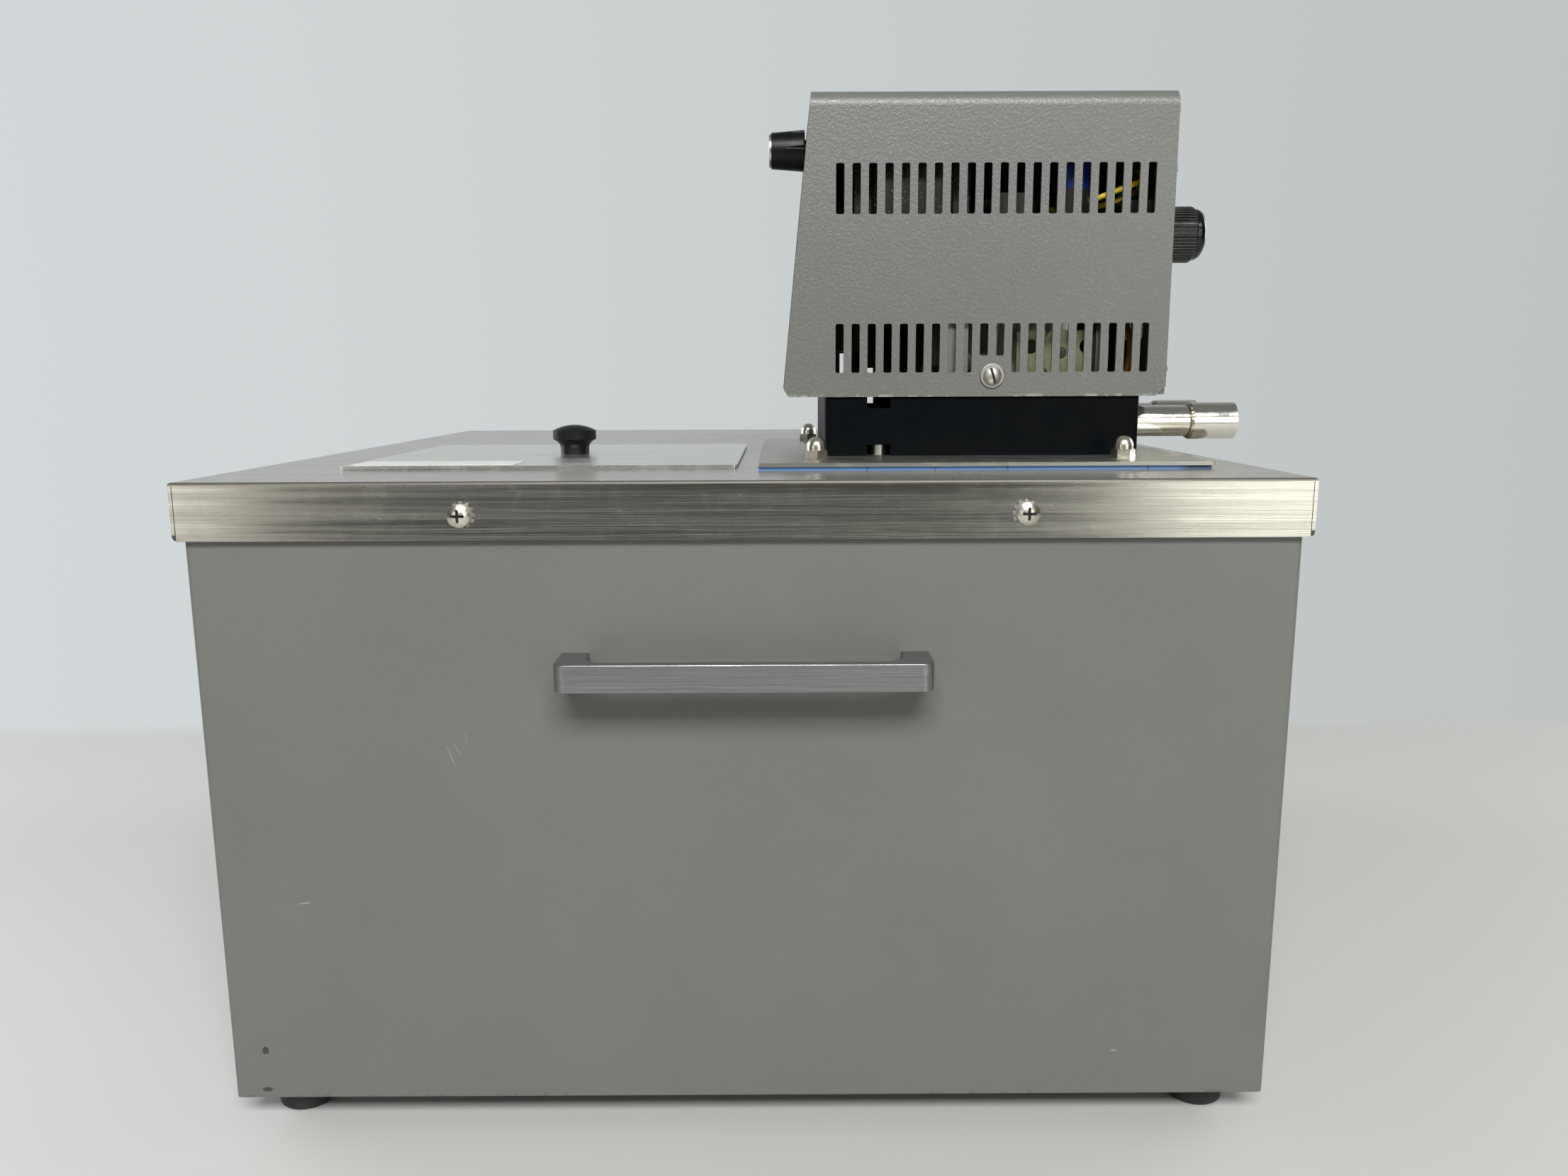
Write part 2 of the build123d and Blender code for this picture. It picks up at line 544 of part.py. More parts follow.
# ================= base shroud =================
NOTCH_FRONT = 53.5
NOTCH_WIDTH = 11.8
with BuildPart() as base_shroud:
    with BuildSketch(Plane.XY.offset(PLATE_TOP)):
        with Locations(((SHROUD_FRONT + SHROUD_REAR) / 2, HEAD_Y)):
            RectangleRounded(SHROUD_LENGTH, SHROUD_WIDTH, 2.5)
            RectangleRounded(SHROUD_LENGTH - 2 * SHROUD_WALL, SHROUD_WIDTH - 2 * SHROUD_WALL, 1,
                             mode=Mode.SUBTRACT)
    extrude(amount=CHASSIS_Z - PLATE_TOP)
    with BuildSketch(Plane.XZ.offset(-HEAD_Y + SHROUD_WIDTH)):
        with Locations((NOTCH_FRONT + NOTCH_WIDTH / 2, CHASSIS_Z)):
            Rectangle(NOTCH_WIDTH, 2 * 6.2)
        with Locations((NOTCH_FRONT + NOTCH_WIDTH / 2, PLATE_TOP)):
            Rectangle(NOTCH_WIDTH, 2 * 5.6)
    extrude(amount=-2 * SHROUD_WIDTH, mode=Mode.SUBTRACT)
    with BuildSketch(Plane.YZ.offset(SHROUD_REAR - SHROUD_WALL - 1)):
        with Locations((PIPE_Y[0], PIPE_Z), (PIPE_Y[1], PIPE_Z)):
            Circle(PIPE_RADIUS + 0.3)
    extrude(amount=SHROUD_WALL + 2, mode=Mode.SUBTRACT)
keep(base_shroud, "base_shroud")

# ================= circulator head: sheet metal =================
POST_RADIUS = 3.0
BOARD_Z = 412.0
BOARD_FRONT = 112.0
BOARD_REAR = 172.0
SHELF_Z = 400.0
SHELF_REAR = 106.0
COVER_SCREW_X = 114.6
COVER_SCREW_Z = HEAD_BOTTOM + 10.0
FLOOR_Z = CHASSIS_Z + HEAD_SHEET
board_posts = [(BOARD_FRONT + 4, HEAD_Y - 52), (BOARD_REAR - 4, HEAD_Y - 52),
               (BOARD_FRONT + 4, HEAD_Y + 52), (BOARD_REAR - 4, HEAD_Y + 52)]

# The chassis carries the posts of the control board and the shelf of the transformer.
with BuildPart() as chassis:
    chassis_length = HEAD_REAR - HEAD_SHEET - PANEL_FRONT - PANEL_SHEET
    chassis_x = PANEL_FRONT + PANEL_SHEET + chassis_length / 2
    wall_y = PANEL_WIDTH / 2 - HEAD_SHEET / 2
    with BuildSketch(Plane.XY.offset(CHASSIS_Z)):
        with Locations((chassis_x, HEAD_Y)):
            Rectangle(chassis_length, PANEL_WIDTH)
        with Locations((SHAFT_X, HEAD_Y)):
            Circle(12, mode=Mode.SUBTRACT)
    extrude(amount=HEAD_SHEET)
    with BuildSketch(Plane.XY.offset(FLOOR_Z)):
        with Locations((chassis_x, HEAD_Y - wall_y), (chassis_x, HEAD_Y + wall_y)):
            Rectangle(chassis_length, HEAD_SHEET)
    extrude(amount=4)
    with BuildSketch(Plane.XY.offset(FLOOR_Z)):
        with Locations((COVER_SCREW_X, HEAD_Y - wall_y), (COVER_SCREW_X, HEAD_Y + wall_y)):
            Rectangle(18, HEAD_SHEET)
    extrude(amount=16)
    with BuildSketch(Plane.XZ.offset(-HEAD_Y + HEAD_WIDTH)):
        with Locations((COVER_SCREW_X, COVER_SCREW_Z)):
            Circle(2.2)
    extrude(amount=-2 * HEAD_WIDTH, mode=Mode.SUBTRACT)
    with BuildSketch(Plane.XY.offset(FLOOR_Z)):
        with Locations((96, HEAD_Y - wall_y + HEAD_SHEET), (96, HEAD_Y + wall_y - HEAD_SHEET)):
            Rectangle(14, HEAD_SHEET)
    extrude(amount=SHELF_Z - FLOOR_Z)
    with BuildSketch(Plane.XY.offset(SHELF_Z)):
        with Locations(((SHELF_REAR + 38) / 2, HEAD_Y)):
            Rectangle(SHELF_REAR - 38, 2 * (wall_y - HEAD_SHEET / 2))
        with Locations((62, HEAD_Y - 56)):
            Rectangle(16, 14, mode=Mode.SUBTRACT)
    extrude(amount=HEAD_SHEET)
    with BuildSketch(Plane.XY.offset(FLOOR_Z)):
        with Locations(*board_posts):
            RegularPolygon(POST_RADIUS, 6)
    extrude(amount=BOARD_Z - FLOOR_Z)
keep(chassis, "chassis")

with BuildPart() as cover_hollow:
    with BuildSketch(Plane.XY.offset(HEAD_BOTTOM - 10)):
        with Locations((SLOT_MID_X, HEAD_Y)):
            Rectangle(300, HEAD_WIDTH - 2 * HEAD_SHEET)
    extrude(amount=HEAD_HEIGHT - HEAD_SHEET + 10)
    fillet(cover_hollow.edges().filter_by(Axis.X).group_by(Axis.Z)[-1], HEAD_BEND - HEAD_SHEET)

# One folded sheet, open below and at both ends, with two rows of air slots in each side.
with BuildPart() as head_cover:
    front_foot = HEAD_REAR - HEAD_LENGTH_FOOT
    with BuildSketch(Plane.XZ.offset(-HEAD_Y - HEAD_WIDTH / 2)):
        with BuildLine():
            Polyline((front_foot + 2.3, HEAD_BOTTOM), (front_foot, HEAD_BOTTOM + 3.6),
                     (HEAD_REAR - HEAD_LENGTH_TOP, HEAD_TOP), (HEAD_REAR, HEAD_TOP),
                     (HEAD_REAR, HEAD_BOTTOM + 4.5), (HEAD_REAR - 4.5, HEAD_BOTTOM), close=True)
        make_face()
    extrude(amount=HEAD_WIDTH)
    fillet(head_cover.edges().filter_by(Axis.X).group_by(Axis.Z)[-1], HEAD_BEND)
    add(cover_hollow.part, mode=Mode.SUBTRACT)
    with BuildSketch(Plane.XZ.offset(-HEAD_Y + HEAD_WIDTH)):
        with Locations((SLOT_MID_X, HEAD_BOTTOM + HIGH_SLOT_RISE + SLOT_HEIGHT / 2)):
            with GridLocations(SLOT_PITCH, 0, SLOT_COUNT, 1):
                RectangleRounded(SLOT_WIDTH, SLOT_HEIGHT, 0.9)
        # The two middle slots of the low row stop short above the cover screw.
        low_z = HEAD_BOTTOM + LOW_SLOT_RISE + SLOT_HEIGHT / 2
        side_slots = (SLOT_COUNT - 2) // 2
        shift = (side_slots + 3) / 2 * SLOT_PITCH - SLOT_PITCH / 2
        with Locations((SLOT_MID_X - shift, low_z), (SLOT_MID_X + shift, low_z)):
            with GridLocations(SLOT_PITCH, 0, side_slots, 1):
                RectangleRounded(SLOT_WIDTH, SLOT_HEIGHT, 0.9)
        with Locations((SLOT_MID_X, low_z + 4)):
            with GridLocations(SLOT_PITCH, 0, 2, 1):
                RectangleRounded(SLOT_WIDTH, SLOT_HEIGHT - 8, 0.9)
        with Locations((COVER_SCREW_X, COVER_SCREW_Z)):
            Circle(2.4)
    extrude(amount=-3 * HEAD_WIDTH, mode=Mode.SUBTRACT)
keep(head_cover, "head_cover")

KNOB_Z = 457.0
DISPLAY_Z = 418.0
LAMP_Z = 392.0
SWITCH_Z = 364.0
CONTROL_SPREAD = 24.0
LAMP_RADIUS = 4.0
SWITCH_BODY = (15.0, 21.6)
with BuildPart() as front_panel:
    with BuildSketch(Plane.YZ.offset(PANEL_FRONT)):
        with Locations((HEAD_Y, (CHASSIS_Z + COVER_INNER_TOP - 0.6) / 2)):
            Rectangle(PANEL_WIDTH, COVER_INNER_TOP - 0.6 - CHASSIS_Z)
        with Locations((HEAD_Y, KNOB_Z)):
            Circle(4.8, mode=Mode.SUBTRACT)
        with Locations((HEAD_Y, DISPLAY_Z)):
            Rectangle(58, 20, mode=Mode.SUBTRACT)
        with Locations((HEAD_Y, LAMP_Z)):
            with GridLocations(2 * CONTROL_SPREAD, 0, 2, 1):
                Circle(LAMP_RADIUS, mode=Mode.SUBTRACT)
        with Locations((HEAD_Y, SWITCH_Z)):
            with GridLocations(2 * CONTROL_SPREAD, 0, 2, 1):
                Rectangle(*SWITCH_BODY, mode=Mode.SUBTRACT)
    extrude(amount=PANEL_SHEET)
    fillet(front_panel.edges().filter_by(Axis.X).group_by(Axis.Z)[-1], 5)
keep(front_panel, "front_panel")

CUTOUT_Y = HEAD_Y - 40.0
CUTOUT_Z = 409.3
INLET_Y = HEAD_Y + 32.0
INLET_Z = 442.0
FUSE_Y = HEAD_Y + 42.0
FUSE_Z = 392.0
REAR_SCREWS = [(HEAD_Y + side * 54, height) for side in (-1, 1) for height in (344.0, 466.0)]
REAR_SCREWS.append((HEAD_Y - 54, 438.5))
with BuildPart() as rear_panel:
    with BuildSketch(Plane.YZ.offset(HEAD_REAR - HEAD_SHEET)):
        with Locations((HEAD_Y, (CHASSIS_Z + COVER_INNER_TOP - 0.6) / 2)):
            Rectangle(PANEL_WIDTH, COVER_INNER_TOP - 0.6 - CHASSIS_Z)
        with Locations((CUTOUT_Y, CUTOUT_Z)):
            Circle(4.8, mode=Mode.SUBTRACT)
        with Locations((INLET_Y, INLET_Z)):
            Rectangle(27.4, 20.4, mode=Mode.SUBTRACT)
        with Locations((FUSE_Y, FUSE_Z)):
            Circle(6.2, mode=Mode.SUBTRACT)
        with Locations(*REAR_SCREWS):
            Circle(1.7, mode=Mode.SUBTRACT)
    extrude(amount=HEAD_SHEET)
    fillet(rear_panel.edges().filter_by(Axis.X).group_by(Axis.Z)[-1], 5)
    with BuildSketch(Plane.YZ.offset(HEAD_REAR - HEAD_SHEET)):
        with Locations((HEAD_Y, 372)):
            with GridLocations(7, 0, 7, 1):
                SlotOverall(26, 3.4, rotation=90)
    extrude(amount=HEAD_SHEET, mode=Mode.SUBTRACT)
keep(rear_panel, "rear_panel")

rear_screw_solid = pan_screw(3.0, 2.2, 1.6, 5.0, recess=0.9)
with BuildPart() as rear_panel_screws:
    with Locations(*[facing((HEAD_REAR, y, z), (1, 0, 0)) for y, z in REAR_SCREWS]):
        add(rear_screw_solid)
keep(rear_panel_screws, "rear_panel_screws")

COVER_WASHER = 1.0
cover_screw_solid = pan_screw(4.3, 2.9, 2.1, 5.0, slots=1, recess=1.3)
cover_sides = [facing((COVER_SCREW_X, HEAD_Y - HEAD_WIDTH / 2, COVER_SCREW_Z), (0, -1, 0)),
               facing((COVER_SCREW_X, HEAD_Y + HEAD_WIDTH / 2, COVER_SCREW_Z), (0, 1, 0))]
with BuildPart() as cover_screws:
    with Locations(*[Location(plane.offset(COVER_WASHER)) * Rot(0, 0, 106) for plane in cover_sides]):
        add(cover_screw_solid)
keep(cover_screws, "cover_screws")

with BuildPart() as washer_ring:
    with BuildSketch():
        Circle(5.95)
        Circle(2.3, mode=Mode.SUBTRACT)
    extrude(amount=COVER_WASHER)
    fillet(washer_ring.edges().group_by(Axis.Z)[-1].sort_by(SortBy.RADIUS)[-1], 0.4)
with BuildPart() as cover_washers:
    with Locations(*cover_sides):
        add(washer_ring.part)
keep(cover_washers, "cover_washers")

# ================= controls =================
SHAFT_STUB = 3.0
KNOB_BACK = 23.8
KNOB_FRONT = 6.4
with BuildPart() as setpoint_knob:
    with BuildSketch(Plane.XY):
        with BuildLine():
            Polyline((KNOB_FRONT, 0), (KNOB_FRONT, 9.0), (KNOB_BACK - 0.6, 10.3), (KNOB_BACK, 9.9),
                     (KNOB_BACK, 5.5), (29.0, 5.5), (29.0, SHAFT_STUB), (38.0, SHAFT_STUB), (38.0, 0),
                     close=True)
        make_face()
    revolve(axis=Axis.X)
    with BuildSketch(Plane.YZ.offset(KNOB_FRONT - 1)):
        with PolarLocations(10.35, 6):
            Circle(0.5)
    extrude(amount=KNOB_BACK - KNOB_FRONT + 1.2, taper=-2.0, mode=Mode.SUBTRACT)
knob_solid = setpoint_knob.part
with BuildPart() as setpoint_knob:
    with Locations((0, HEAD_Y, KNOB_Z)):
        add(knob_solid)
keep(setpoint_knob, "setpoint_knob")

with BuildPart() as setpoint_cap:
    with BuildSketch(Plane.YZ.offset(KNOB_FRONT - 1.2)):
        with Locations((HEAD_Y, KNOB_Z)):
            Circle(8.3)
    extrude(amount=1.2)
    fillet(setpoint_cap.edges().sort_by(Axis.X)[0], 0.4)
    with BuildSketch(Plane.YZ.offset(KNOB_FRONT - 1.2)):
        with Locations((HEAD_Y, KNOB_Z + 5.2)):
            Rectangle(1.2, 5.2)
    extrude(amount=0.4, mode=Mode.SUBTRACT)
keep(setpoint_cap, "setpoint_cap")


def shaft_control(depth, body_radius, nut_flats):
    """A panel control on local Z: body behind the panel, threaded bush through it, nut in front."""
    with BuildPart() as control:
        with BuildSketch(Plane.XY.offset(-PANEL_SHEET - depth)):
            Circle(body_radius)
        extrude(amount=depth)
        with BuildSketch(Plane.XY.offset(-PANEL_SHEET)):
            Circle(4.75)
        extrude(amount=PANEL_SHEET + 2.4)
        with BuildSketch():
            RegularPolygon(nut_flats / 2, 6, major_radius=False)
        extrude(amount=2.0)
        with BuildSketch(Plane.XY.offset(-PANEL_SHEET - depth / 2)):
            Circle(SHAFT_STUB + RUNNING_GAP)
        extrude(amount=depth, mode=Mode.SUBTRACT)
    return control.part


pot_solid = shaft_control(12.0, 8.5, 11.0)
with BuildPart() as potentiometer:
    with Locations(facing((PANEL_FRONT, HEAD_Y, KNOB_Z), (-1, 0, 0))):
        add(pot_solid)
keep(potentiometer, "potentiometer")

with BuildPart() as display_bezel:
    with BuildSketch(Plane.YZ.offset(PANEL_FRONT - 3)):
        with Locations((HEAD_Y, DISPLAY_Z)):
            RectangleRounded(68, 30, 3)
            Rectangle(52, 15, mode=Mode.SUBTRACT)
    extrude(amount=3)
    chamfer(display_bezel.faces().sort_by(Axis.X)[0].outer_wire().edges(), 0.8)
    with BuildSketch(Plane.YZ.offset(PANEL_FRONT)):
        with Locations((HEAD_Y, DISPLAY_Z)):
            Rectangle(57.6, 19.6)
            Rectangle(52, 15, mode=Mode.SUBTRACT)
    extrude(amount=10)
    with BuildSketch(Plane.YZ.offset(PANEL_FRONT + 8)):
        with Locations((HEAD_Y, DISPLAY_Z)):
            Rectangle(57.6, 19.6)
    extrude(amount=2)
keep(display_bezel, "display_bezel")

with BuildPart() as display_window:
    with BuildSketch(Plane.YZ.offset(PANEL_FRONT - 2)):
        with Locations((HEAD_Y, DISPLAY_Z)):
            Rectangle(52, 15)
    extrude(amount=1.5)
keep(display_window, "display_window")

with BuildPart() as pilot_lamps:
    with BuildSketch(Plane.YZ.offset(PANEL_FRONT - 1.2)):
        with Locations((HEAD_Y, LAMP_Z)):
            with GridLocations(2 * CONTROL_SPREAD, 0, 2, 1):
                Circle(LAMP_RADIUS + 1.4)
    extrude(amount=1.2)
    with BuildSketch(Plane.YZ.offset(PANEL_FRONT - 3.4)):
        with Locations((HEAD_Y, LAMP_Z)):
            with GridLocations(2 * CONTROL_SPREAD, 0, 2, 1):
                Circle(LAMP_RADIUS)
    extrude(amount=18)
    fillet(pilot_lamps.edges().group_by(Axis.X)[0], 1.6)
keep(pilot_lamps, "pilot_lamps")

ROCKER_WIDTH = 11.4
ROCKER_HALF = 8.3
ROCKER_TILT = 10.0
ROCKER_PIVOT_X = PANEL_FRONT - 0.2
TRUNNION_RADIUS = 1.2
TRUNNION_LENGTH = 1.1
with BuildPart() as switch_housings:
    with BuildSketch(Plane.YZ.offset(PANEL_FRONT - 1.8)):
        with Locations((HEAD_Y, SWITCH_Z)):
            with GridLocations(2 * CONTROL_SPREAD, 0, 2, 1):
                RectangleRounded(SWITCH_BODY[0] + 3, SWITCH_BODY[1] + 3, 1.2)
    extrude(amount=1.8)
    with BuildSketch(Plane.YZ.offset(PANEL_FRONT)):
        with Locations((HEAD_Y, SWITCH_Z)):
            with GridLocations(2 * CONTROL_SPREAD, 0, 2, 1):
                Rectangle(SWITCH_BODY[0] - 0.4, SWITCH_BODY[1] - 0.4)
    extrude(amount=20)
    with BuildSketch(Plane.YZ.offset(PANEL_FRONT - 1.8)):
        with Locations((HEAD_Y, SWITCH_Z)):
            with GridLocations(2 * CONTROL_SPREAD, 0, 2, 1):
                Rectangle(ROCKER_WIDTH + 0.8, 19.2)
    extrude(amount=14, mode=Mode.SUBTRACT)
    # Blind seats in both side walls take the trunnions that each rocker turns on.
    for side in (-1, 1):
        with BuildSketch(Plane.XZ.offset(-HEAD_Y - side * CONTROL_SPREAD)):
            with Locations((ROCKER_PIVOT_X, SWITCH_Z)):
                Circle(TRUNNION_RADIUS + RUNNING_GAP)
        extrude(amount=ROCKER_WIDTH / 2 + TRUNNION_LENGTH + 0.1, both=True, mode=Mode.SUBTRACT)
keep(switch_housings, "switch_housings")

tilt = ROCKER_TILT * pi / 180
for label, side in (("power_rocker", -1), ("cooling_rocker", 1)):
    pivot = (ROCKER_PIVOT_X, HEAD_Y + side * CONTROL_SPREAD, SWITCH_Z)
    outward = (-cos(tilt), 0, sin(tilt))
    with BuildPart() as rocker:
        with BuildSketch(Plane(origin=pivot, x_dir=outward, z_dir=(0, 1, 0))):
            with BuildLine():
                Polyline((-3.0, -6.0), (3.2, -ROCKER_HALF), (1.7, 0), (3.2, ROCKER_HALF), (-3.0, 6.0),
                         close=True)
            make_face()
        extrude(amount=ROCKER_WIDTH / 2, both=True)
        fillet(rocker.edges().filter_by(Axis.Y), 0.4)
        with BuildSketch(Plane(origin=pivot, x_dir=outward, z_dir=(0, 1, 0))):
            Circle(TRUNNION_RADIUS)
        extrude(amount=ROCKER_WIDTH / 2 + TRUNNION_LENGTH, both=True)
    keep(rocker, label)

with BuildPart() as cutout_knob:
    with BuildSketch(Plane.XY):
        with BuildLine():
            Polyline((0, 0), (0, SHAFT_STUB), (10.8, SHAFT_STUB), (10.8, 13.5), (22.4, 13.5), (23.2, 13.1),
                     (23.2, 12.3), (25.0, 12.3))
            ThreePointArc((25.0, 12.3), (27.4, 11.0), (28.4, 8.6))
            Polyline((28.4, 8.6), (28.4, 0), (0, 0))
        make_face()
    revolve(axis=Axis.X)
    with BuildSketch(Plane.YZ.offset(10.4)):
        with PolarLocations(13.85, 54):
            Circle(0.62)
    extrude(amount=13.2, mode=Mode.SUBTRACT)
cutout_solid = cutout_knob.part
CUTOUT_BACK = 191.5
with BuildPart() as cutout_knob:
    with Locations((CUTOUT_BACK, CUTOUT_Y, CUTOUT_Z)):
        add(cutout_solid)
keep(cutout_knob, "cutout_knob")

with BuildPart() as cutout_thermostat:
    with BuildSketch(Plane.YZ.offset(HEAD_REAR - HEAD_SHEET - 22)):
        with Locations((CUTOUT_Y + 2, CUTOUT_Z)):
            Rectangle(30, 30)
    extrude(amount=22)
    with BuildSketch(Plane.YZ.offset(HEAD_REAR - HEAD_SHEET)):
        with Locations((CUTOUT_Y, CUTOUT_Z)):
            Circle(4.75)
    extrude(amount=HEAD_SHEET + 1.6)
    with BuildSketch(Plane.YZ.offset(190)):
        with Locations((CUTOUT_Y, CUTOUT_Z)):
            Circle(SHAFT_STUB + RUNNING_GAP)
    extrude(amount=20, mode=Mode.SUBTRACT)
keep(cutout_thermostat, "cutout_thermostat")

INLET_DEPTH = 26.0
with BuildPart() as mains_inlet:
    with BuildSketch(Plane.YZ.offset(HEAD_REAR)):
        with Locations((INLET_Y, INLET_Z)):
            RectangleRounded(48, 23, 3)
    extrude(amount=2.6)
    with BuildSketch(Plane.YZ.offset(HEAD_REAR - INLET_DEPTH)):
        with Locations((INLET_Y, INLET_Z)):
            Rectangle(27, 20)
    extrude(amount=INLET_DEPTH)
    with BuildSketch(Plane.YZ.offset(HEAD_REAR - 14.4)):
        with BuildLine():
            Polyline((INLET_Y - 12, INLET_Z - 8), (INLET_Y + 12, INLET_Z - 8), (INLET_Y + 12, INLET_Z + 4),
                     (INLET_Y + 8, INLET_Z + 8), (INLET_Y - 8, INLET_Z + 8), (INLET_Y - 12, INLET_Z + 4),
                     close=True)
        make_face()
    extrude(amount=17, mode=Mode.SUBTRACT)
    with BuildSketch(Plane.YZ.offset(HEAD_REAR - 14.4)):
        with Locations((INLET_Y - 7, INLET_Z), (INLET_Y, INLET_Z + 3), (INLET_Y + 7, INLET_Z)):
            Rectangle(2, 4)
    extrude(amount=13)
keep(mains_inlet, "mains_inlet")

with BuildPart() as fuse_holder:
    with BuildSketch(Plane.YZ.offset(HEAD_REAR - 32)):
        with Locations((FUSE_Y, FUSE_Z)):
            Circle(6.0)
    extrude(amount=32)
    with BuildSketch(Plane.YZ.offset(HEAD_REAR)):
        with Locations((FUSE_Y, FUSE_Z)):
            Circle(8.0)
    extrude(amount=3)
    with BuildSketch(Plane.YZ.offset(HEAD_REAR + 3)):
        with Locations((FUSE_Y, FUSE_Z)):
            Circle(6.2)
    extrude(amount=5)
    with BuildSketch(Plane.YZ.offset(HEAD_REAR + 6.6)):
        with Locations((FUSE_Y, FUSE_Z)):
            Rectangle(9, 1.4)
    extrude(amount=2, mode=Mode.SUBTRACT)
keep(fuse_holder, "fuse_holder")

# ================= electrics =================
with BuildPart() as transformer:
    core_z = SHELF_Z + HEAD_SHEET
    with BuildSketch(Plane.XY.offset(core_z)):
        with Locations((76, HEAD_Y - 24)):
            Rectangle(58, 34)
    extrude(amount=52)
    fillet(transformer.edges().filter_by(Axis.Z), 1)
    with BuildSketch(Plane.XY.offset(core_z + 10)):
        with Locations((76, HEAD_Y - 24)):
            RectangleRounded(40, 54, 6)
    extrude(amount=32)
    with BuildSketch(Plane.XY.offset(core_z)):
        with Locations((76, HEAD_Y - 24)):
            Rectangle(60, 14)
    extrude(amount=1.5)
keep(transformer, "transformer")

board_x = (BOARD_FRONT + BOARD_REAR) / 2
with BuildPart() as control_board:
    with BuildSketch(Plane.XY.offset(BOARD_Z)):
        with Locations((board_x, HEAD_Y)):
            Rectangle(BOARD_REAR - BOARD_FRONT, 2 * 56)
    extrude(amount=1.6)
    with BuildSketch(Plane.XY.offset(BOARD_Z + 1.6)):
        with Locations((board_x - 14, HEAD_Y + 8)):
            with GridLocations(20, 24, 2, 3):
                Rectangle(15, 19)
        with Locations((BOARD_FRONT + 12, HEAD_Y - 44)):
            Rectangle(16, 9)
    extrude(amount=15)
    # Two capacitor cans stand taller than everything else on the board.
    with BuildSketch(Plane.XY.offset(BOARD_Z + 1.6)):
        with Locations((155, HEAD_Y - 43)):
            Circle(8)
        with Locations((163, HEAD_Y - 24)):
            Circle(6)
    extrude(amount=29)
    fillet(control_board.edges().group_by(Axis.Z)[-1], 1)
keep(control_board, "control_board")

yellow_route = [(185, HEAD_Y - 30, 425), (185, HEAD_Y - 32, 438), (176, HEAD_Y - 46, 446),
                (150, HEAD_Y - 50, 450), (112, HEAD_Y - 30, 458)]
yellow_wire = round_tube(yellow_route, [5, 8, 12], 1.1)
red_route = [(64, HEAD_Y - 52, FLOOR_Z + 0.1), (64, HEAD_Y - 52, 388), (60, HEAD_Y - 54.5, 408),
             (60, HEAD_Y - 54.5, 430), (62, HEAD_Y - 52, 452), (66, HEAD_Y - 38, 463), (72, HEAD_Y - 18, 464)]
red_wire = round_tube(red_route, [16, 16, 16, 10, 8], 1.1)
with BuildPart() as wiring:
    with Locations((0, 0, 0), (1.5, 3.4, 3.2)):
        add(yellow_wire)
    with Locations((0, 0, 0), (-4, 0, 0)):
        add(red_wire)
keep(wiring, "wiring")

# ================= motor and pump =================
MOTOR_Z = 342.0
MOTOR_TOP = 398.0
with BuildPart() as motor_housing:
    with BuildSketch(Plane.XY.offset(MOTOR_Z)):
        with Locations((SHAFT_X, HEAD_Y)):
            Circle(43)
    extrude(amount=4)
    with BuildSketch(Plane.XY.offset(MOTOR_Z + 4)):
        with Locations((SHAFT_X, HEAD_Y)):
            Circle(38)
    extrude(amount=MOTOR_TOP - MOTOR_Z - 4)
    with BuildSketch(Plane.XY.offset(FLOOR_Z)):
        with Locations((SHAFT_X, HEAD_Y)):
            with PolarLocations(39, 4, start_angle=45):
                Circle(3)
    extrude(amount=MOTOR_Z - FLOOR_Z)
    with BuildSketch(Plane.XY.offset(MOTOR_Z + 4)):
        with Locations((SHAFT_X, HEAD_Y)):
            Circle(34)
    extrude(amount=MOTOR_TOP - MOTOR_Z - 8, mode=Mode.SUBTRACT)
    with BuildSketch(Plane.XY.offset(MOTOR_Z - 1)):
        with Locations((SHAFT_X, HEAD_Y)):
            Circle(SHAFT_RADIUS + RUNNING_GAP)
            with PolarLocations(22, 6):
                Circle(5)
    extrude(amount=MOTOR_TOP - MOTOR_Z + 2, mode=Mode.SUBTRACT)
keep(motor_housing, "motor_housing")

with BuildPart() as motor_stator:
    with BuildSketch(Plane.XY.offset(MOTOR_Z + 14)):
        with Locations((SHAFT_X, HEAD_Y)):
            Circle(34)
            Circle(22, mode=Mode.SUBTRACT)
            with PolarLocations(27.5, 12):
                RectangleRounded(4, 7, 1, mode=Mode.SUBTRACT)
    extrude(amount=28)
keep(motor_stator, "motor_stator")

with BuildPart() as motor_shaft:
    with BuildSketch(Plane.XY.offset(160)):
        with Locations((SHAFT_X, HEAD_Y)):
            Circle(SHAFT_RADIUS)
    extrude(amount=249)
    with BuildSketch(Plane.XY.offset(MOTOR_Z + 14)):
        with Locations((SHAFT_X, HEAD_Y)):
            Circle(21)
    extrude(amount=28)
keep(motor_shaft, "motor_shaft")

with BuildPart() as motor_fan:
    with BuildSketch(Plane.XY.offset(400.5)):
        with Locations((SHAFT_X, HEAD_Y)):
            Circle(9)
            with PolarLocations(15, 8):
                Rectangle(14, 2)
            Circle(SHAFT_RADIUS, mode=Mode.SUBTRACT)
    extrude(amount=7.5)
keep(motor_fan, "motor_fan")

with BuildPart() as pump_columns:
    with BuildSketch(Plane.XY.offset(PUMP_TOP)):
        with Locations(*columns):
            Circle(COLUMN_RADIUS)
    extrude(amount=GASKET_TOP - PUMP_TOP)
keep(pump_columns, "pump_columns")

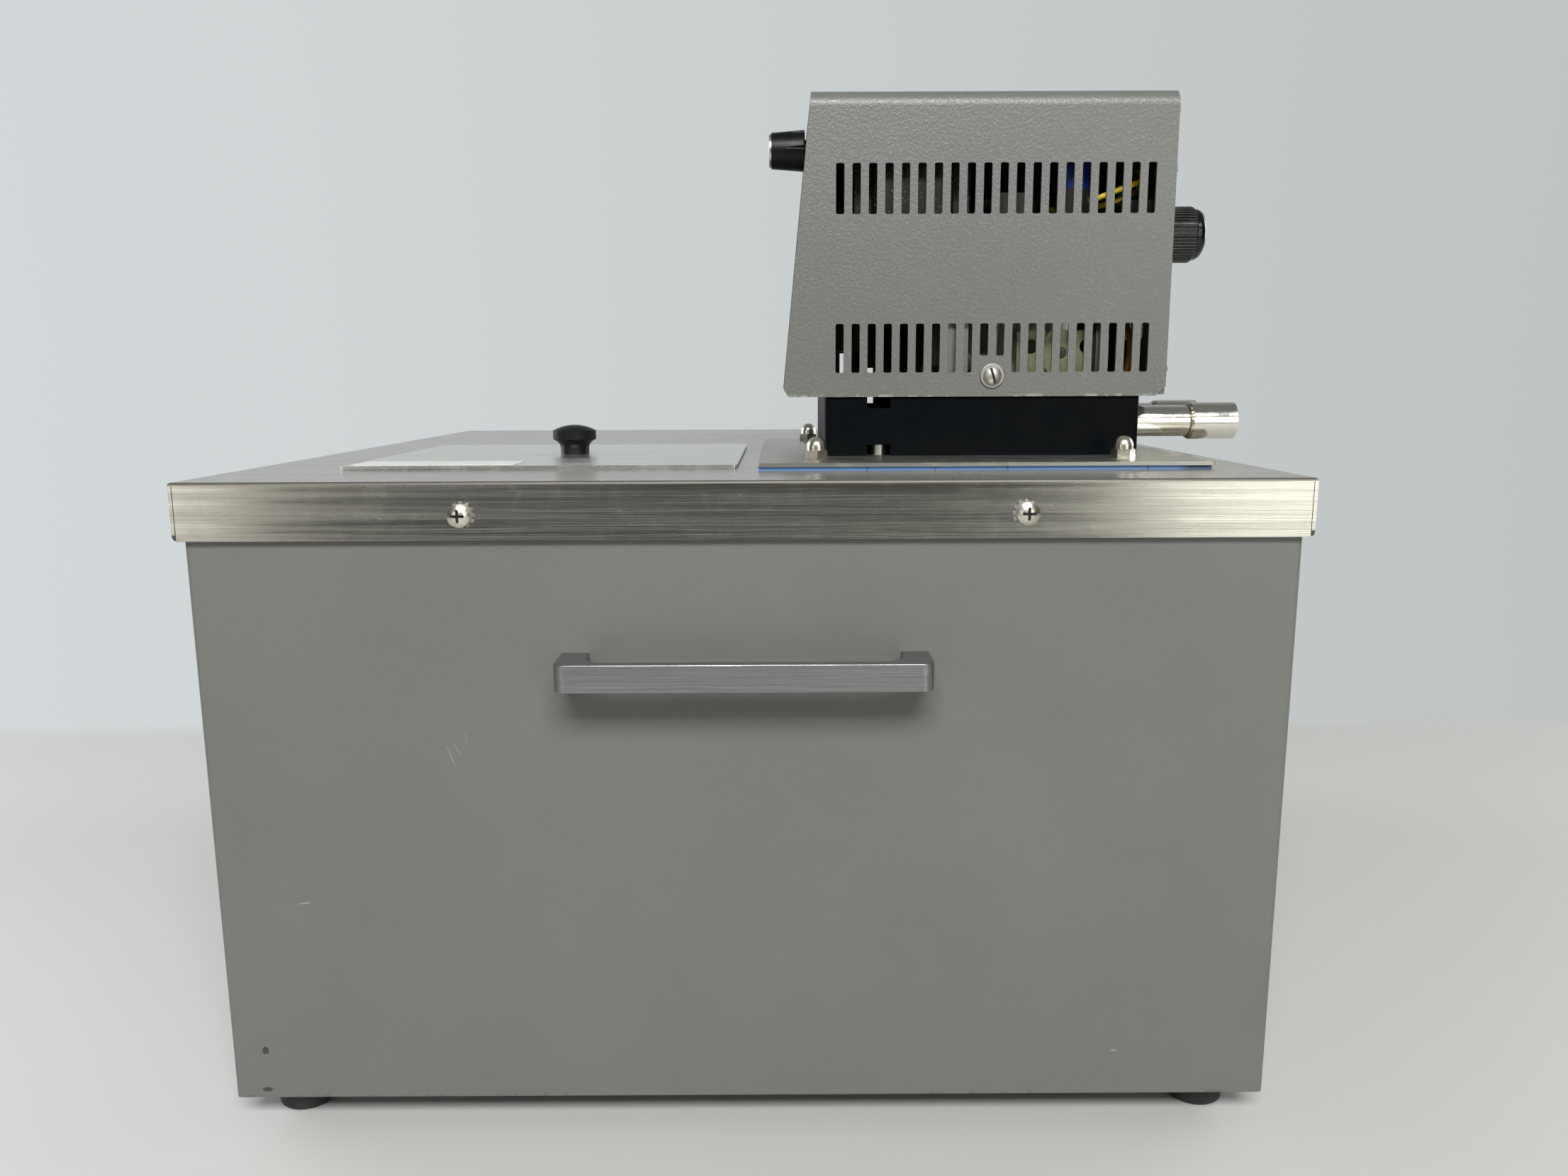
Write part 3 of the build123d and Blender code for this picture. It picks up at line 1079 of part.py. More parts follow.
PUMP_FLOOR = 152.0
PUMP_RADIUS = 39.0
with BuildPart() as pump_housing:
    with BuildSketch(Plane.XY.offset(PUMP_FLOOR)):
        with Locations((SHAFT_X, HEAD_Y)):
            Circle(PUMP_RADIUS)
    extrude(amount=PUMP_TOP - PUMP_FLOOR)
    with BuildSketch(Plane.XY.offset(PUMP_FLOOR + 3)):
        with Locations((SHAFT_X, HEAD_Y)):
            Circle(PUMP_RADIUS - 3)
    extrude(amount=PUMP_TOP - PUMP_FLOOR - 6, mode=Mode.SUBTRACT)
    with BuildSketch(Plane.XY.offset(PUMP_TOP - 3)):
        with Locations((SHAFT_X, HEAD_Y)):
            Circle(SHAFT_RADIUS + RUNNING_GAP)
        with Locations((PIPE_DROP_X, PIPE_Y[0])):
            Circle(PIPE_BORE)
    extrude(amount=3, mode=Mode.SUBTRACT)
    with BuildSketch(Plane.XY.offset(PUMP_FLOOR)):
        with Locations((SHAFT_X, HEAD_Y)):
            Circle(14)
    extrude(amount=3, mode=Mode.SUBTRACT)
keep(pump_housing, "pump_housing")

with BuildPart() as impeller:
    with BuildSketch(Plane.XY.offset(168)):
        with Locations((SHAFT_X, HEAD_Y)):
            Circle(22)
            Circle(SHAFT_RADIUS, mode=Mode.SUBTRACT)
    extrude(amount=2)
    with BuildSketch(Plane.XY.offset(160)):
        with Locations((SHAFT_X, HEAD_Y)):
            Circle(7)
            with PolarLocations(13.5, 6):
                Rectangle(15, 2, rotation=25)
            Circle(SHAFT_RADIUS, mode=Mode.SUBTRACT)
    extrude(amount=8)
keep(impeller, "impeller")

# ================= hose pipes =================
RETURN_END = 230.0
for label, pipe_y, low_end in (("supply_pipe", PIPE_Y[0], PUMP_TOP), ("return_pipe", PIPE_Y[1], RETURN_END)):
    route = [(SOCKET_END - SOCKET_LENGTH + 2, pipe_y, PIPE_Z), (PIPE_DROP_X, pipe_y, PIPE_Z),
             (PIPE_DROP_X, pipe_y, low_end)]
    pipe_solid = round_tube(route, 16, PIPE_RADIUS, PIPE_BORE)
    with BuildPart() as pipe:
        add(pipe_solid)
        with BuildSketch(Plane.YZ.offset(SOCKET_END - SOCKET_LENGTH)):
            with Locations((pipe_y, PIPE_Z)):
                Circle(SOCKET_RADIUS)
                Circle(PIPE_BORE, mode=Mode.SUBTRACT)
        extrude(amount=SOCKET_LENGTH)
        with BuildSketch(Plane.YZ.offset(SOCKET_END - SOCKET_LENGTH + 2)):
            with Locations((pipe_y, PIPE_Z)):
                Circle(SOCKET_BORE)
        extrude(amount=SOCKET_LENGTH, mode=Mode.SUBTRACT)
    keep(pipe, label)

# ================= heater and sensors =================
HEATER_LOW = 128.0
HEATER_PITCH = 13.0
HEATER_CORNERS = 14
HEATER_BEND = 15.0
HEATER_LEG_BEND = 5.5
GLAND_RADIUS = 6.5
GLAND_HEIGHT = 5.0
LEG_TOP = PLATE_TOP + 18.0
# The sheath comes down inside the coil, winds round it with a quarter turn at each corner, and turns
# inward and up again over its last turn.
heater_high = HEATER_LOW + HEATER_PITCH * HEATER_CORNERS / 4
heater_route = [(HEATER_LEGS[1][0], HEAD_Y, LEG_TOP), (HEATER_LEGS[1][0], HEAD_Y, HEATER_LOW),
                (HEATER_X + HEATER_REACH, HEAD_Y, HEATER_LOW)]
for corner in range(HEATER_CORNERS):
    turn = (45 + 90 * corner) * pi / 180
    heater_route.append((HEATER_X + HEATER_REACH * sqrt(2) * cos(turn),
                         HEAD_Y + HEATER_REACH * sqrt(2) * sin(turn),
                         HEATER_LOW + HEATER_PITCH * (corner + 0.5) / 4))
heater_route += [(HEATER_X - HEATER_REACH, HEAD_Y, heater_high), (HEATER_LEGS[0][0], HEAD_Y, heater_high),
                 (HEATER_LEGS[0][0], HEAD_Y, LEG_TOP)]
leg_bends = [HEATER_LEG_BEND, HEATER_LEG_BEND]
heater_sheath = round_tube(heater_route, leg_bends + [HEATER_BEND] * HEATER_CORNERS + leg_bends, HEATER_TUBE)
with BuildPart() as heater_coil:
    add(heater_sheath)
    with BuildSketch(Plane.XY.offset(PLATE_TOP)):
        with Locations(*HEATER_LEGS):
            Circle(GLAND_RADIUS)
    extrude(amount=GLAND_HEIGHT)
keep(heater_coil, "heater_coil")

with BuildPart() as temperature_probe:
    with BuildSketch(Plane.XY.offset(140)):
        with Locations(PROBE_PLACE):
            Circle(3)
    extrude(amount=PLATE_TOP + 12 - 140)
    fillet(temperature_probe.edges().group_by(Axis.Z)[0], 2.5)
    with BuildSketch(Plane.XY.offset(PLATE_TOP)):
        with Locations(PROBE_PLACE):
            Circle(5.5)
    extrude(amount=GLAND_HEIGHT)
keep(temperature_probe, "temperature_probe")

FLOAT_LOW = 236.0
FLOAT_HEIGHT = 16.0
FLOAT_TRAVEL = 18.0
with BuildPart() as float_stem:
    with BuildSketch(Plane.XY.offset(FLOAT_LOW - 6)):
        with Locations(FLOAT_PLACE):
            Circle(3)
    extrude(amount=PLATE_TOP + 12 - FLOAT_LOW + 6)
    with BuildSketch(Plane.XY.offset(FLOAT_LOW - 3)):
        with Locations(FLOAT_PLACE):
            Circle(5)
    extrude(amount=2.8)
    with BuildSketch(Plane.XY.offset(FLOAT_LOW + FLOAT_HEIGHT + FLOAT_TRAVEL + 0.2)):
        with Locations(FLOAT_PLACE):
            Circle(5)
    extrude(amount=2.8)
    with BuildSketch(Plane.XY.offset(PLATE_TOP)):
        with Locations(FLOAT_PLACE):
            Circle(5.5)
    extrude(amount=GLAND_HEIGHT)
keep(float_stem, "float_stem")

with BuildPart() as level_float:
    with BuildSketch(Plane.XY.offset(FLOAT_LOW)):
        with Locations(FLOAT_PLACE):
            Circle(12)
    extrude(amount=FLOAT_HEIGHT)
    fillet(level_float.edges(), 3)
    with BuildSketch(Plane.XY.offset(FLOAT_LOW - 1)):
        with Locations(FLOAT_PLACE):
            Circle(3.3)
    extrude(amount=FLOAT_HEIGHT + 2, mode=Mode.SUBTRACT)
keep(level_float, "level_float")

# ================= refrigeration bay =================
PAN_TOP = FLOOR_TOP + CASING_SHEET
COMPRESSOR_X = 110.0
COMPRESSOR_RADIUS = 56.0
with BuildPart() as compressor:
    with BuildSketch(Plane.XZ):
        with BuildLine():
            Line((0, 26), (34, 26))
            Polyline((34, 26), (50, 33), (COMPRESSOR_RADIUS, 48))
            Line((COMPRESSOR_RADIUS, 48), (COMPRESSOR_RADIUS, 140))
            dome(COMPRESSOR_RADIUS, 140, 176)
            Line((0, 176), (0, 26))
        make_face()
    revolve(axis=Axis.Z)
    with BuildSketch(Plane.XY.offset(96)):
        Circle(COMPRESSOR_RADIUS + 2.5)
    extrude(amount=4)
    with BuildSketch(Plane.XY.offset(26)):
        with GridLocations(110, 110, 2, 2):
            Circle(9)
        Rectangle(116, 26, rotation=45)
        Rectangle(116, 26, rotation=-45)
        Rectangle(140, 20, rotation=45)
        Rectangle(140, 20, rotation=-45)
    extrude(amount=4)
    with BuildSketch(Plane.XY.offset(PAN_TOP)):
        with GridLocations(110, 110, 2, 2):
            Circle(8)
    extrude(amount=26 - PAN_TOP)
compressor_solid = compressor.part
with BuildPart() as compressor:
    with Locations((COMPRESSOR_X, BAY_Y, 0)):
        add(compressor_solid)
keep(compressor, "compressor")

CONDENSER_X = -210.0
CONDENSER_Z = 122.0
CONDENSER_WIDTH = 136.0
CONDENSER_HEIGHT = 156.0
with BuildPart() as condenser:
    with BuildSketch(Plane.XY.offset(CONDENSER_Z - CONDENSER_HEIGHT / 2)):
        with Locations((CONDENSER_X, BAY_Y)):
            with GridLocations(0, 5.5, 1, 24):
                Rectangle(26, 0.8)
    extrude(amount=CONDENSER_HEIGHT)
    with BuildSketch(Plane.XZ.offset(-BAY_Y + CONDENSER_WIDTH / 2)):
        with Locations((CONDENSER_X, CONDENSER_Z)):
            with GridLocations(12, 26, 2, 6):
                Circle(3.5)
    extrude(amount=-CONDENSER_WIDTH)
    with BuildSketch(Plane.XY.offset(PAN_TOP)):
        with Locations((CONDENSER_X, BAY_Y)):
            with GridLocations(0, CONDENSER_WIDTH, 1, 2):
                Rectangle(26, 1.6)
    extrude(amount=CONDENSER_Z + CONDENSER_HEIGHT / 2 - PAN_TOP)
keep(condenser, "condenser")

FAN_X = -176.0
FAN_RADIUS = 64.0
with BuildPart() as fan_shroud:
    with BuildSketch(Plane.YZ.offset(CONDENSER_X + 15)):
        with Locations((BAY_Y, (PAN_TOP + 205) / 2)):
            Rectangle(156, 205 - PAN_TOP)
        with Locations((BAY_Y, CONDENSER_Z)):
            Circle(FAN_RADIUS + 5, mode=Mode.SUBTRACT)
    extrude(amount=1.5)
    with BuildSketch(Plane.YZ.offset(CONDENSER_X + 16.5)):
        with Locations((BAY_Y, CONDENSER_Z)):
            Circle(FAN_RADIUS + 6.5)
            Circle(FAN_RADIUS + 5, mode=Mode.SUBTRACT)
    extrude(amount=26)
    with BuildSketch(Plane.YZ.offset(CONDENSER_X + 42.5)):
        with Locations((BAY_Y, CONDENSER_Z)):
            Circle(FAN_RADIUS + 6.5)
            Circle(FAN_RADIUS + 4, mode=Mode.SUBTRACT)
            Rectangle(2 * FAN_RADIUS + 10, 10)
            Rectangle(10, 2 * FAN_RADIUS + 10)
            Circle(24)
    extrude(amount=2)
    with BuildSketch(Plane.YZ.offset(CONDENSER_X + 44.5)):
        with Locations((BAY_Y, CONDENSER_Z)):
            Circle(24)
    extrude(amount=34)
    with BuildSketch(Plane.YZ.offset(CONDENSER_X + 40)):
        with Locations((BAY_Y, CONDENSER_Z)):
            Circle(3 + RUNNING_GAP)
    extrude(amount=20, mode=Mode.SUBTRACT)
keep(fan_shroud, "fan_shroud")

with BuildPart() as condenser_fan:
    with BuildSketch(Plane.YZ.offset(FAN_X - 8)):
        with Locations((BAY_Y, CONDENSER_Z)):
            Circle(17)
    extrude(amount=14)
    with BuildSketch(Plane.YZ.offset(FAN_X + 6)):
        with Locations((BAY_Y, CONDENSER_Z)):
            Circle(3)
    extrude(amount=14)
    with BuildSketch(Plane.YZ.offset(FAN_X - 2)):
        with Locations((BAY_Y, CONDENSER_Z)):
            with PolarLocations(FAN_RADIUS / 2 + 7, 5):
                RectangleRounded(FAN_RADIUS - 16, 34, 10)
    extrude(amount=1.8)
keep(condenser_fan, "condenser_fan")

# Copper lines: discharge, liquid line with its drier, and the suction line from the coil.
LINE_RADIUS = 3.2
tube_x = CONDENSER_X + 6
plate_y = BAY_Y + CONDENSER_WIDTH / 2 + 0.8
outlet_x = COMPRESSOR_X - 44
discharge = [(outlet_x, BAY_Y + 20, 156.4), (outlet_x, BAY_Y + 20, 205), (20, BAY_Y + 46, 226),
             (-70, BAY_Y + 66, 232), (-150, BAY_Y + 76, 226), (tube_x, BAY_Y + 84, 206),
             (tube_x, BAY_Y + 84, 187), (tube_x, plate_y, 187)]
liquid = [(tube_x, plate_y, 57), (tube_x, BAY_Y + 84, 57), (tube_x + 6, BAY_Y + 84, 34),
          (-160, BAY_Y + 78, 30), (-90, BAY_Y + 60, 34), (-40, BAY_Y + 20, 60), (20, BAY_Y - 50, 96),
          (90, 62, 118), (150, 50, TANK_FLOOR + 40),
          (150, TANK_Y + coil_reach_y + COIL_TUBE + 0.1, TANK_FLOOR + 40)]
with BuildPart() as refrigerant_lines:
    add(round_tube(discharge, [14, 30, 40, 30, 10, 8], LINE_RADIUS))
    add(round_tube(liquid, [8, 8, 10, 25, 25, 25, 25, 10], LINE_RADIUS))
keep(refrigerant_lines, "refrigerant_lines")
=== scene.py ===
from math import cos, pi, radians, sin

import bmesh
import bpy
from mathutils import Matrix, Vector


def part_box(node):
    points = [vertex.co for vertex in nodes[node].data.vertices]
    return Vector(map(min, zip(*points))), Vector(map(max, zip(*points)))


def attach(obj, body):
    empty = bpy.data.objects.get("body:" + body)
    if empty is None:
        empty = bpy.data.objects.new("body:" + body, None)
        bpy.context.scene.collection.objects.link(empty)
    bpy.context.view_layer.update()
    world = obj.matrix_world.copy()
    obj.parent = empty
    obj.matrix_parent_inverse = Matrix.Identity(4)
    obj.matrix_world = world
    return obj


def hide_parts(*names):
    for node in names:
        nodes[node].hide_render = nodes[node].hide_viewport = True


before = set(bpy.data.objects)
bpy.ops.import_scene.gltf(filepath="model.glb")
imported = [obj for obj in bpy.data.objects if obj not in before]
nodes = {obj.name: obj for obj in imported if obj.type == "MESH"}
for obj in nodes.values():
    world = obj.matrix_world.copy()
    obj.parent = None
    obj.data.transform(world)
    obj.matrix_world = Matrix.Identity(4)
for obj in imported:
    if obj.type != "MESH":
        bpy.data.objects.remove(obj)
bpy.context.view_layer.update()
X, Y, Z = Vector((1, 0, 0)), Vector((0, 1, 0)), Vector((0, 0, 1))
MM = 0.001


# ================= shader building =================
def linear(red, green, blue):
    """A screen colour, 0 to 255, as scene-linear RGBA."""
    def one(value):
        value /= 255
        return value / 12.92 if value <= 0.04045 else ((value + 0.055) / 1.055) ** 2.4
    return one(red), one(green), one(blue), 1.0


def new_node(tree, kind, inputs=None, **settings):
    """Add a node, and set or link its inputs by name or place."""
    node = tree.nodes.new(kind)
    for key, value in settings.items():
        setattr(node, key, value)
    return feed(tree, node, inputs or {})


def feed(tree, node, inputs):
    for key, value in inputs.items():
        if isinstance(value, bpy.types.NodeSocket):
            tree.links.new(value, node.inputs[key])
        else:
            node.inputs[key].default_value = value
    return node


def scaled(colour, share):
    """A colour made darker or lighter, still opaque."""
    return [part * share for part in colour[:3]] + [1]


class Shader:
    """One Principled material, with a short call for each node that the finishes below use."""

    def __init__(self, name, **values):
        self.material = bpy.data.materials.new(name)
        self.material.use_nodes = True
        self.tree = self.material.node_tree
        self.surface = self.tree.nodes["Principled BSDF"]
        self.place = self.tree.nodes.new("ShaderNodeTexCoord").outputs["Object"]
        for socket, value in values.items():
            self.set(socket.replace("_", " "), value)

    def set(self, socket, value):
        feed(self.tree, self.surface, {socket: value})

    def source(self, socket):
        """What a finish has already linked into a socket of the surface."""
        return self.surface.inputs[socket].links[0].from_socket

    def add(self, kind, inputs=None, **settings):
        return new_node(self.tree, kind, inputs, **settings)

    def stretched(self, scale):
        return self.add("ShaderNodeMapping", {"Vector": self.place, "Scale": scale}).outputs[0]

    def noise(self, scale, detail=3.0, rough=0.55, stretch=(1, 1, 1), distort=0.0):
        inputs = {"Vector": self.stretched(stretch), "Scale": scale, "Detail": detail, "Roughness": rough,
                  "Distortion": distort}
        return self.add("ShaderNodeTexNoise", inputs).outputs["Fac"]

    def spots(self, scale):
        inputs = {"Vector": self.stretched((1, 1, 1)), "Scale": scale}
        return self.add("ShaderNodeTexVoronoi", inputs).outputs["Distance"]

    def span(self, value, low, high, start=0.0, end=1.0, smooth=False):
        """Map low..high of a value to start..end, held at both ends."""
        inputs = {"Value": value, "From Min": low, "From Max": high, "To Min": start, "To Max": end}
        kind = "SMOOTHSTEP" if smooth else "LINEAR"
        return self.add("ShaderNodeMapRange", inputs, interpolation_type=kind).outputs[0]

    def math(self, operation, first, second=0.0):
        return self.add("ShaderNodeMath", {0: first, 1: second}, operation=operation).outputs[0]

    def mix(self, factor, first, second):
        inputs = {"Factor": factor, 6: first, 7: second}
        return self.add("ShaderNodeMix", inputs, data_type="RGBA").outputs[2]

    def axis(self, name):
        return self.add("ShaderNodeSeparateXYZ", {0: self.place}).outputs[name]

    def facing(self, name):
        """How far the surface faces along an axis of the object, either way, 0 to 1."""
        coords = self.add("ShaderNodeTexCoord").outputs["Normal"]
        return self.math("ABSOLUTE", self.add("ShaderNodeSeparateXYZ", {0: coords}).outputs[name])

    def bump(self, height, distance, strength=1.0):
        inputs = {"Height": height, "Distance": distance, "Strength": strength}
        return self.add("ShaderNodeBump", inputs).outputs[0]

    def patch(self, centre, radii, wobble=0.0, scale=120.0, soft=0.35, lean=0.0):
        """1 inside an ellipsoid of the object's space, 0 outside, with an uneven edge, leaning about Y."""
        squash = tuple(1 / radius for radius in radii)
        turned = self.add("ShaderNodeVectorRotate", {"Vector": self.place, "Center": centre, "Angle": lean},
                          rotation_type="Y_AXIS").outputs[0]
        moved = self.add("ShaderNodeVectorMath", {0: turned, 1: centre}, operation="SUBTRACT").outputs[0]
        round_one = self.add("ShaderNodeVectorMath", {0: moved, 1: squash}, operation="MULTIPLY").outputs[0]
        reach = self.add("ShaderNodeVectorMath", {0: round_one}, operation="LENGTH").outputs["Value"]
        if wobble:
            noise = self.noise(scale, 4.0, 0.7)
            reach = self.math("ADD", reach, self.math("MULTIPLY", self.math("SUBTRACT", noise, 0.5), wobble))
        return self.span(reach, 1.0 - soft, 1.0, 1.0, 0.0, smooth=True)


def paint_finish(name, colour, peel, depth, glint_share, rough=0.42):
    """Textured sheet paint: a rolled orange-peel surface with painted highlights on its crests and fine
    points, and darker in its pits.
    """
    s = Shader(name, IOR=1.5)
    cells = s.noise(peel, 2.0, 0.45)
    fine = s.noise(peel * 3.1, 2.0, 0.5)
    cloud = s.noise(9.0, 3.0, 0.6)
    tone = s.mix(s.span(cloud, 0.35, 0.65), colour, scaled(colour, 0.93))
    # Painted highlights: the crests of the peel and its finest points are lifted towards white, as if light
    # glints on them.
    crest_glints = s.span(cells, 0.60, 0.78, 0.0, glint_share)
    points = s.math("MAXIMUM", crest_glints, s.span(fine, 0.64, 0.74, 0.0, glint_share * 1.6))
    glint_lifted = s.mix(points, tone, [min(1.0, c * 1.7 + 0.03) for c in colour[:3]] + [1])
    # Darker in the fine pits of the peel.
    pits = s.span(fine, 0.28, 0.42, 0.12, 0.0)
    s.set("Base Color", s.mix(pits, glint_lifted, scaled(colour, 0.45)))
    s.set("Roughness", s.span(cells, 0.35, 0.7, rough + 0.08, rough - 0.08))
    relief = s.math("ADD", cells, s.math("MULTIPLY", fine, 0.35))
    s.set("Normal", s.bump(relief, depth, 0.75))
    return s


def steel_finish(name, colour, along, rough, stain, streak=1.0):
    """Brushed sheet: long grain along one axis, uneven hand marks and faint drying stains."""
    s = Shader(name, Metallic=1.0)
    grain = [1.0, 1.0, 1.0]
    grain[along] = 0.012
    hair = s.noise(1700.0, 2.0, 0.6, grain)
    band = s.noise(420.0, 3.0, 0.65, grain)
    broad = s.noise(26.0, 4.0, 0.6)
    blots = s.noise(95.0, 5.0, 0.7, distort=0.8)
    dark = scaled(colour, 1 - 0.16 * streak)
    tone = s.mix(s.span(hair, 0.3, 0.7), dark, colour)
    tone = s.mix(s.span(band, 0.42, 0.66, 0.0, 0.35 * streak), tone, scaled(colour, 0.72))
    tone = s.mix(s.span(broad, 0.45, 0.72, 0.0, 0.35 * stain), tone, scaled(colour, 0.8))
    film = [colour[0] * 0.78, colour[1] * 0.74, colour[2] * 0.66, 1]
    s.set("Base Color", s.mix(s.span(blots, 0.58, 0.72, 0.0, 0.5 * stain), tone, film))
    uneven = s.math("ADD", s.span(band, 0.3, 0.7, -0.05, 0.06), s.span(blots, 0.5, 0.75, 0.0, 0.12 * stain))
    s.set("Roughness", s.math("ADD", uneven, rough))
    relief = s.math("ADD", hair, s.math("MULTIPLY", band, 0.6))
    s.set("Normal", s.bump(relief, 0.00009 * streak, 0.6))
    return s


def metal_finish(name, colour, rough, scale=300.0, depth=0.00003, tarnish=0.3):
    """Plated or cast metal: fine bumps with a thin uneven tarnish."""
    s = Shader(name, Metallic=1.0)
    cloud = s.noise(scale * 0.35, 4.0, 0.6)
    fine = s.noise(scale * 4, 3.0, 0.6)
    s.set("Base Color", s.mix(s.span(cloud, 0.4, 0.7, 0.0, tarnish), colour,
                              [colour[0] * 0.6, colour[1] * 0.57, colour[2] * 0.5, 1]))
    s.set("Roughness", s.span(cloud, 0.3, 0.7, rough - 0.05, rough + 0.12))
    s.set("Normal", s.bump(fine, depth, 0.5))
    return s


def paint_slot_shade(s, axis, centre, floor_at):
    """Paint shade on the flat floor of each driver slot, which lies floor_at from centre along an axis: a
    painted shadow, dark and not metallic.
    """
    base = s.source("Base Color")
    depth = s.math("ABSOLUTE", s.math("SUBTRACT", s.axis(axis), centre))
    near = s.span(s.math("ABSOLUTE", s.math("SUBTRACT", depth, floor_at)), 0.00010, 0.00016, 1.0, 0.0)
    flat = s.span(s.facing(axis), 0.985, 0.995)
    dark = s.math("MULTIPLY", near, flat)
    # Painted shadow: the slot floor is dark and not metallic.
    s.set("Base Color", s.mix(dark, base, linear(34, 32, 28)))
    s.set("Metallic", s.math("SUBTRACT", 1.0, dark))
    return s


def deck_screw_finish():
    s = metal_finish("deck_screw_nickel", linear(206, 202, 190), 0.28)
    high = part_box("deck_screws")[1]
    return paint_slot_shade(s, "Y", 0.0, high.y - 1.5 * MM)


def cover_screw_finish():
    s = metal_finish("cover_screw_nickel", linear(186, 184, 174), 0.40)
    low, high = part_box("cover_screws")
    return paint_slot_shade(s, "Y", (low.y + high.y) / 2, (high.y - low.y) / 2 - 1.3 * MM)


def moulding_finish(name, colour, rough, scale=2200.0, depth=0.00003, dust=0.25, shine=0.5):
    """Moulded plastic or rubber: fine spark texture, with dust in the low places."""
    s = Shader(name, IOR=1.48, Specular_IOR_Level=shine)
    fine = s.noise(scale, 2.0, 0.5)
    cloud = s.noise(70.0, 4.0, 0.65)
    pale = [min(1.0, c + 0.05) for c in colour[:3]] + [1]
    s.set("Base Color", s.mix(s.span(cloud, 0.5, 0.75, 0.0, dust), colour, pale))
    s.set("Roughness", s.span(cloud, 0.3, 0.7, rough - 0.06, rough + 0.1))
    s.set("Normal", s.bump(fine, depth, 0.6))
    return s


# ================= finishes =================
def casing_finish():
    s = paint_finish("casing_paint", linear(101, 102, 98), 950.0, 0.00004, 0.06, rough=0.46)
    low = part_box("casing")[0]
    front = low.y
    base = s.source("Base Color")
    scuff_tone = linear(176, 175, 168)
    marks = [((-0.134, front, 0.178), (0.0005, 0.01, 0.0085), 0.35, 0.22),
             ((-0.131, front, 0.181), (0.0004, 0.01, 0.0065), 0.50, 0.20),
             ((-0.127, front, 0.186), (0.0004, 0.01, 0.0045), 0.20, 0.16),
             ((0.162, front, 0.036), (0.0022, 0.01, 0.0005), 0.0, 0.55),
             ((-0.203, front, 0.110), (0.004, 0.01, 0.0006), 0.1, 0.40)]
    for centre, radii, lean, share in marks:
        scratch = s.patch(centre, radii, 1.2, 900.0, 0.8, lean)
        base = s.mix(s.math("MULTIPLY", scratch, share), base, scuff_tone)
    chips = [((-0.2265, front, 0.038), (0.0016, 0.01, 0.0022)),
             ((-0.2270, front, 0.0185), (0.0026, 0.01, 0.0012)),
             ((-0.030, front, 0.2150), (0.0007, 0.01, 0.0009))]
    for centre, radii in chips:
        base = s.mix(s.patch(centre, radii, 1.0, 900.0, 0.2), base, linear(52, 52, 50))
    edge = s.span(s.axis("Z"), low.z, low.z + 0.0022, 0.6, 0.0)
    worn = s.math("MULTIPLY", edge, s.span(s.noise(160.0, 4.0, 0.7), 0.56, 0.62))
    s.set("Base Color", s.mix(worn, base, linear(70, 69, 66)))
    return s


def head_finish():
    # The head paint carries strong painted highlights on the crests of its peel.
    s = paint_finish("head_paint", linear(101, 102, 98), 800.0, 0.00026, 0.34, rough=0.36)
    low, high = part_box("head_cover")
    base = s.source("Base Color")
    rust = linear(120, 88, 58)
    for dx, dz in ((0.006, -0.052), (0.009, -0.055), (0.0075, -0.0605), (0.012, -0.050)):
        spot = s.patch((low.x + 0.010 + dx, low.y, high.z + dz), (0.0007, 0.004, 0.0007), 1.2, 1500.0)
        base = s.mix(s.math("MULTIPLY", spot, 0.8), base, rust)
    edge = s.span(s.axis("Z"), low.z, low.z + 0.0016, 0.7, 0.0)
    worn = s.math("MULTIPLY", edge, s.span(s.noise(200.0, 4.0, 0.7), 0.52, 0.60))
    s.set("Base Color", s.mix(worn, base, linear(168, 166, 160)))
    return s


def deck_finish():
    s = steel_finish("stainless_deck", linear(204, 202, 193), 0, 0.22, 0.3, 0.55)
    base = s.source("Base Color")
    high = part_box("deck_top")[1]
    top = s.span(s.axis("Z"), high.z - 0.0165, high.z - 0.0124, 0.0, 1.0)
    dusty = s.math("MULTIPLY", s.facing("Z"), s.span(s.noise(60.0, 5.0, 0.7), 0.35, 0.7, 0.72, 0.90))
    film = s.math("MULTIPLY", dusty, top)
    base = s.mix(film, base, linear(134, 130, 119))
    s.set("Metallic", s.span(film, 0.0, 1.0, 1.0, 0.45))
    # Painted shade on the rounded bends between the top and the sides, found by how far they face up; the
    # bends are also rougher.
    turn = s.facing("Z")
    bend_shade = s.math("MULTIPLY", s.span(turn, 0.04, 0.20), s.span(turn, 0.97, 0.995, 1.0, 0.0))
    s.set("Base Color", s.mix(s.math("MULTIPLY", bend_shade, 0.9), base, linear(84, 82, 76)))
    satin = s.source("Roughness")
    s.set("Roughness", s.math("ADD", satin, s.math("MULTIPLY", bend_shade, 0.28)))
    return s


def gasket_finish():
    s = moulding_finish("blue_gasket", linear(96, 134, 190), 0.55, depth=0.00006)
    base = s.source("Base Color")
    low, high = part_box("plate_gasket")
    x = s.axis("X")
    shade = s.span(x, high.x - 0.016, high.x - 0.010, 0.0, 0.8)
    base = s.mix(shade, base, linear(46, 56, 84))
    for share in (0.24, 0.39, 0.55, 0.86):
        away = s.math("ABSOLUTE", s.math("SUBTRACT", x, low.x + share * (high.x - low.x)))
        seam = s.span(away, 0.0, 0.0006, 0.8, 0.0)
        base = s.mix(seam, base, linear(40, 56, 90))
    s.set("Base Color", base)
    return s


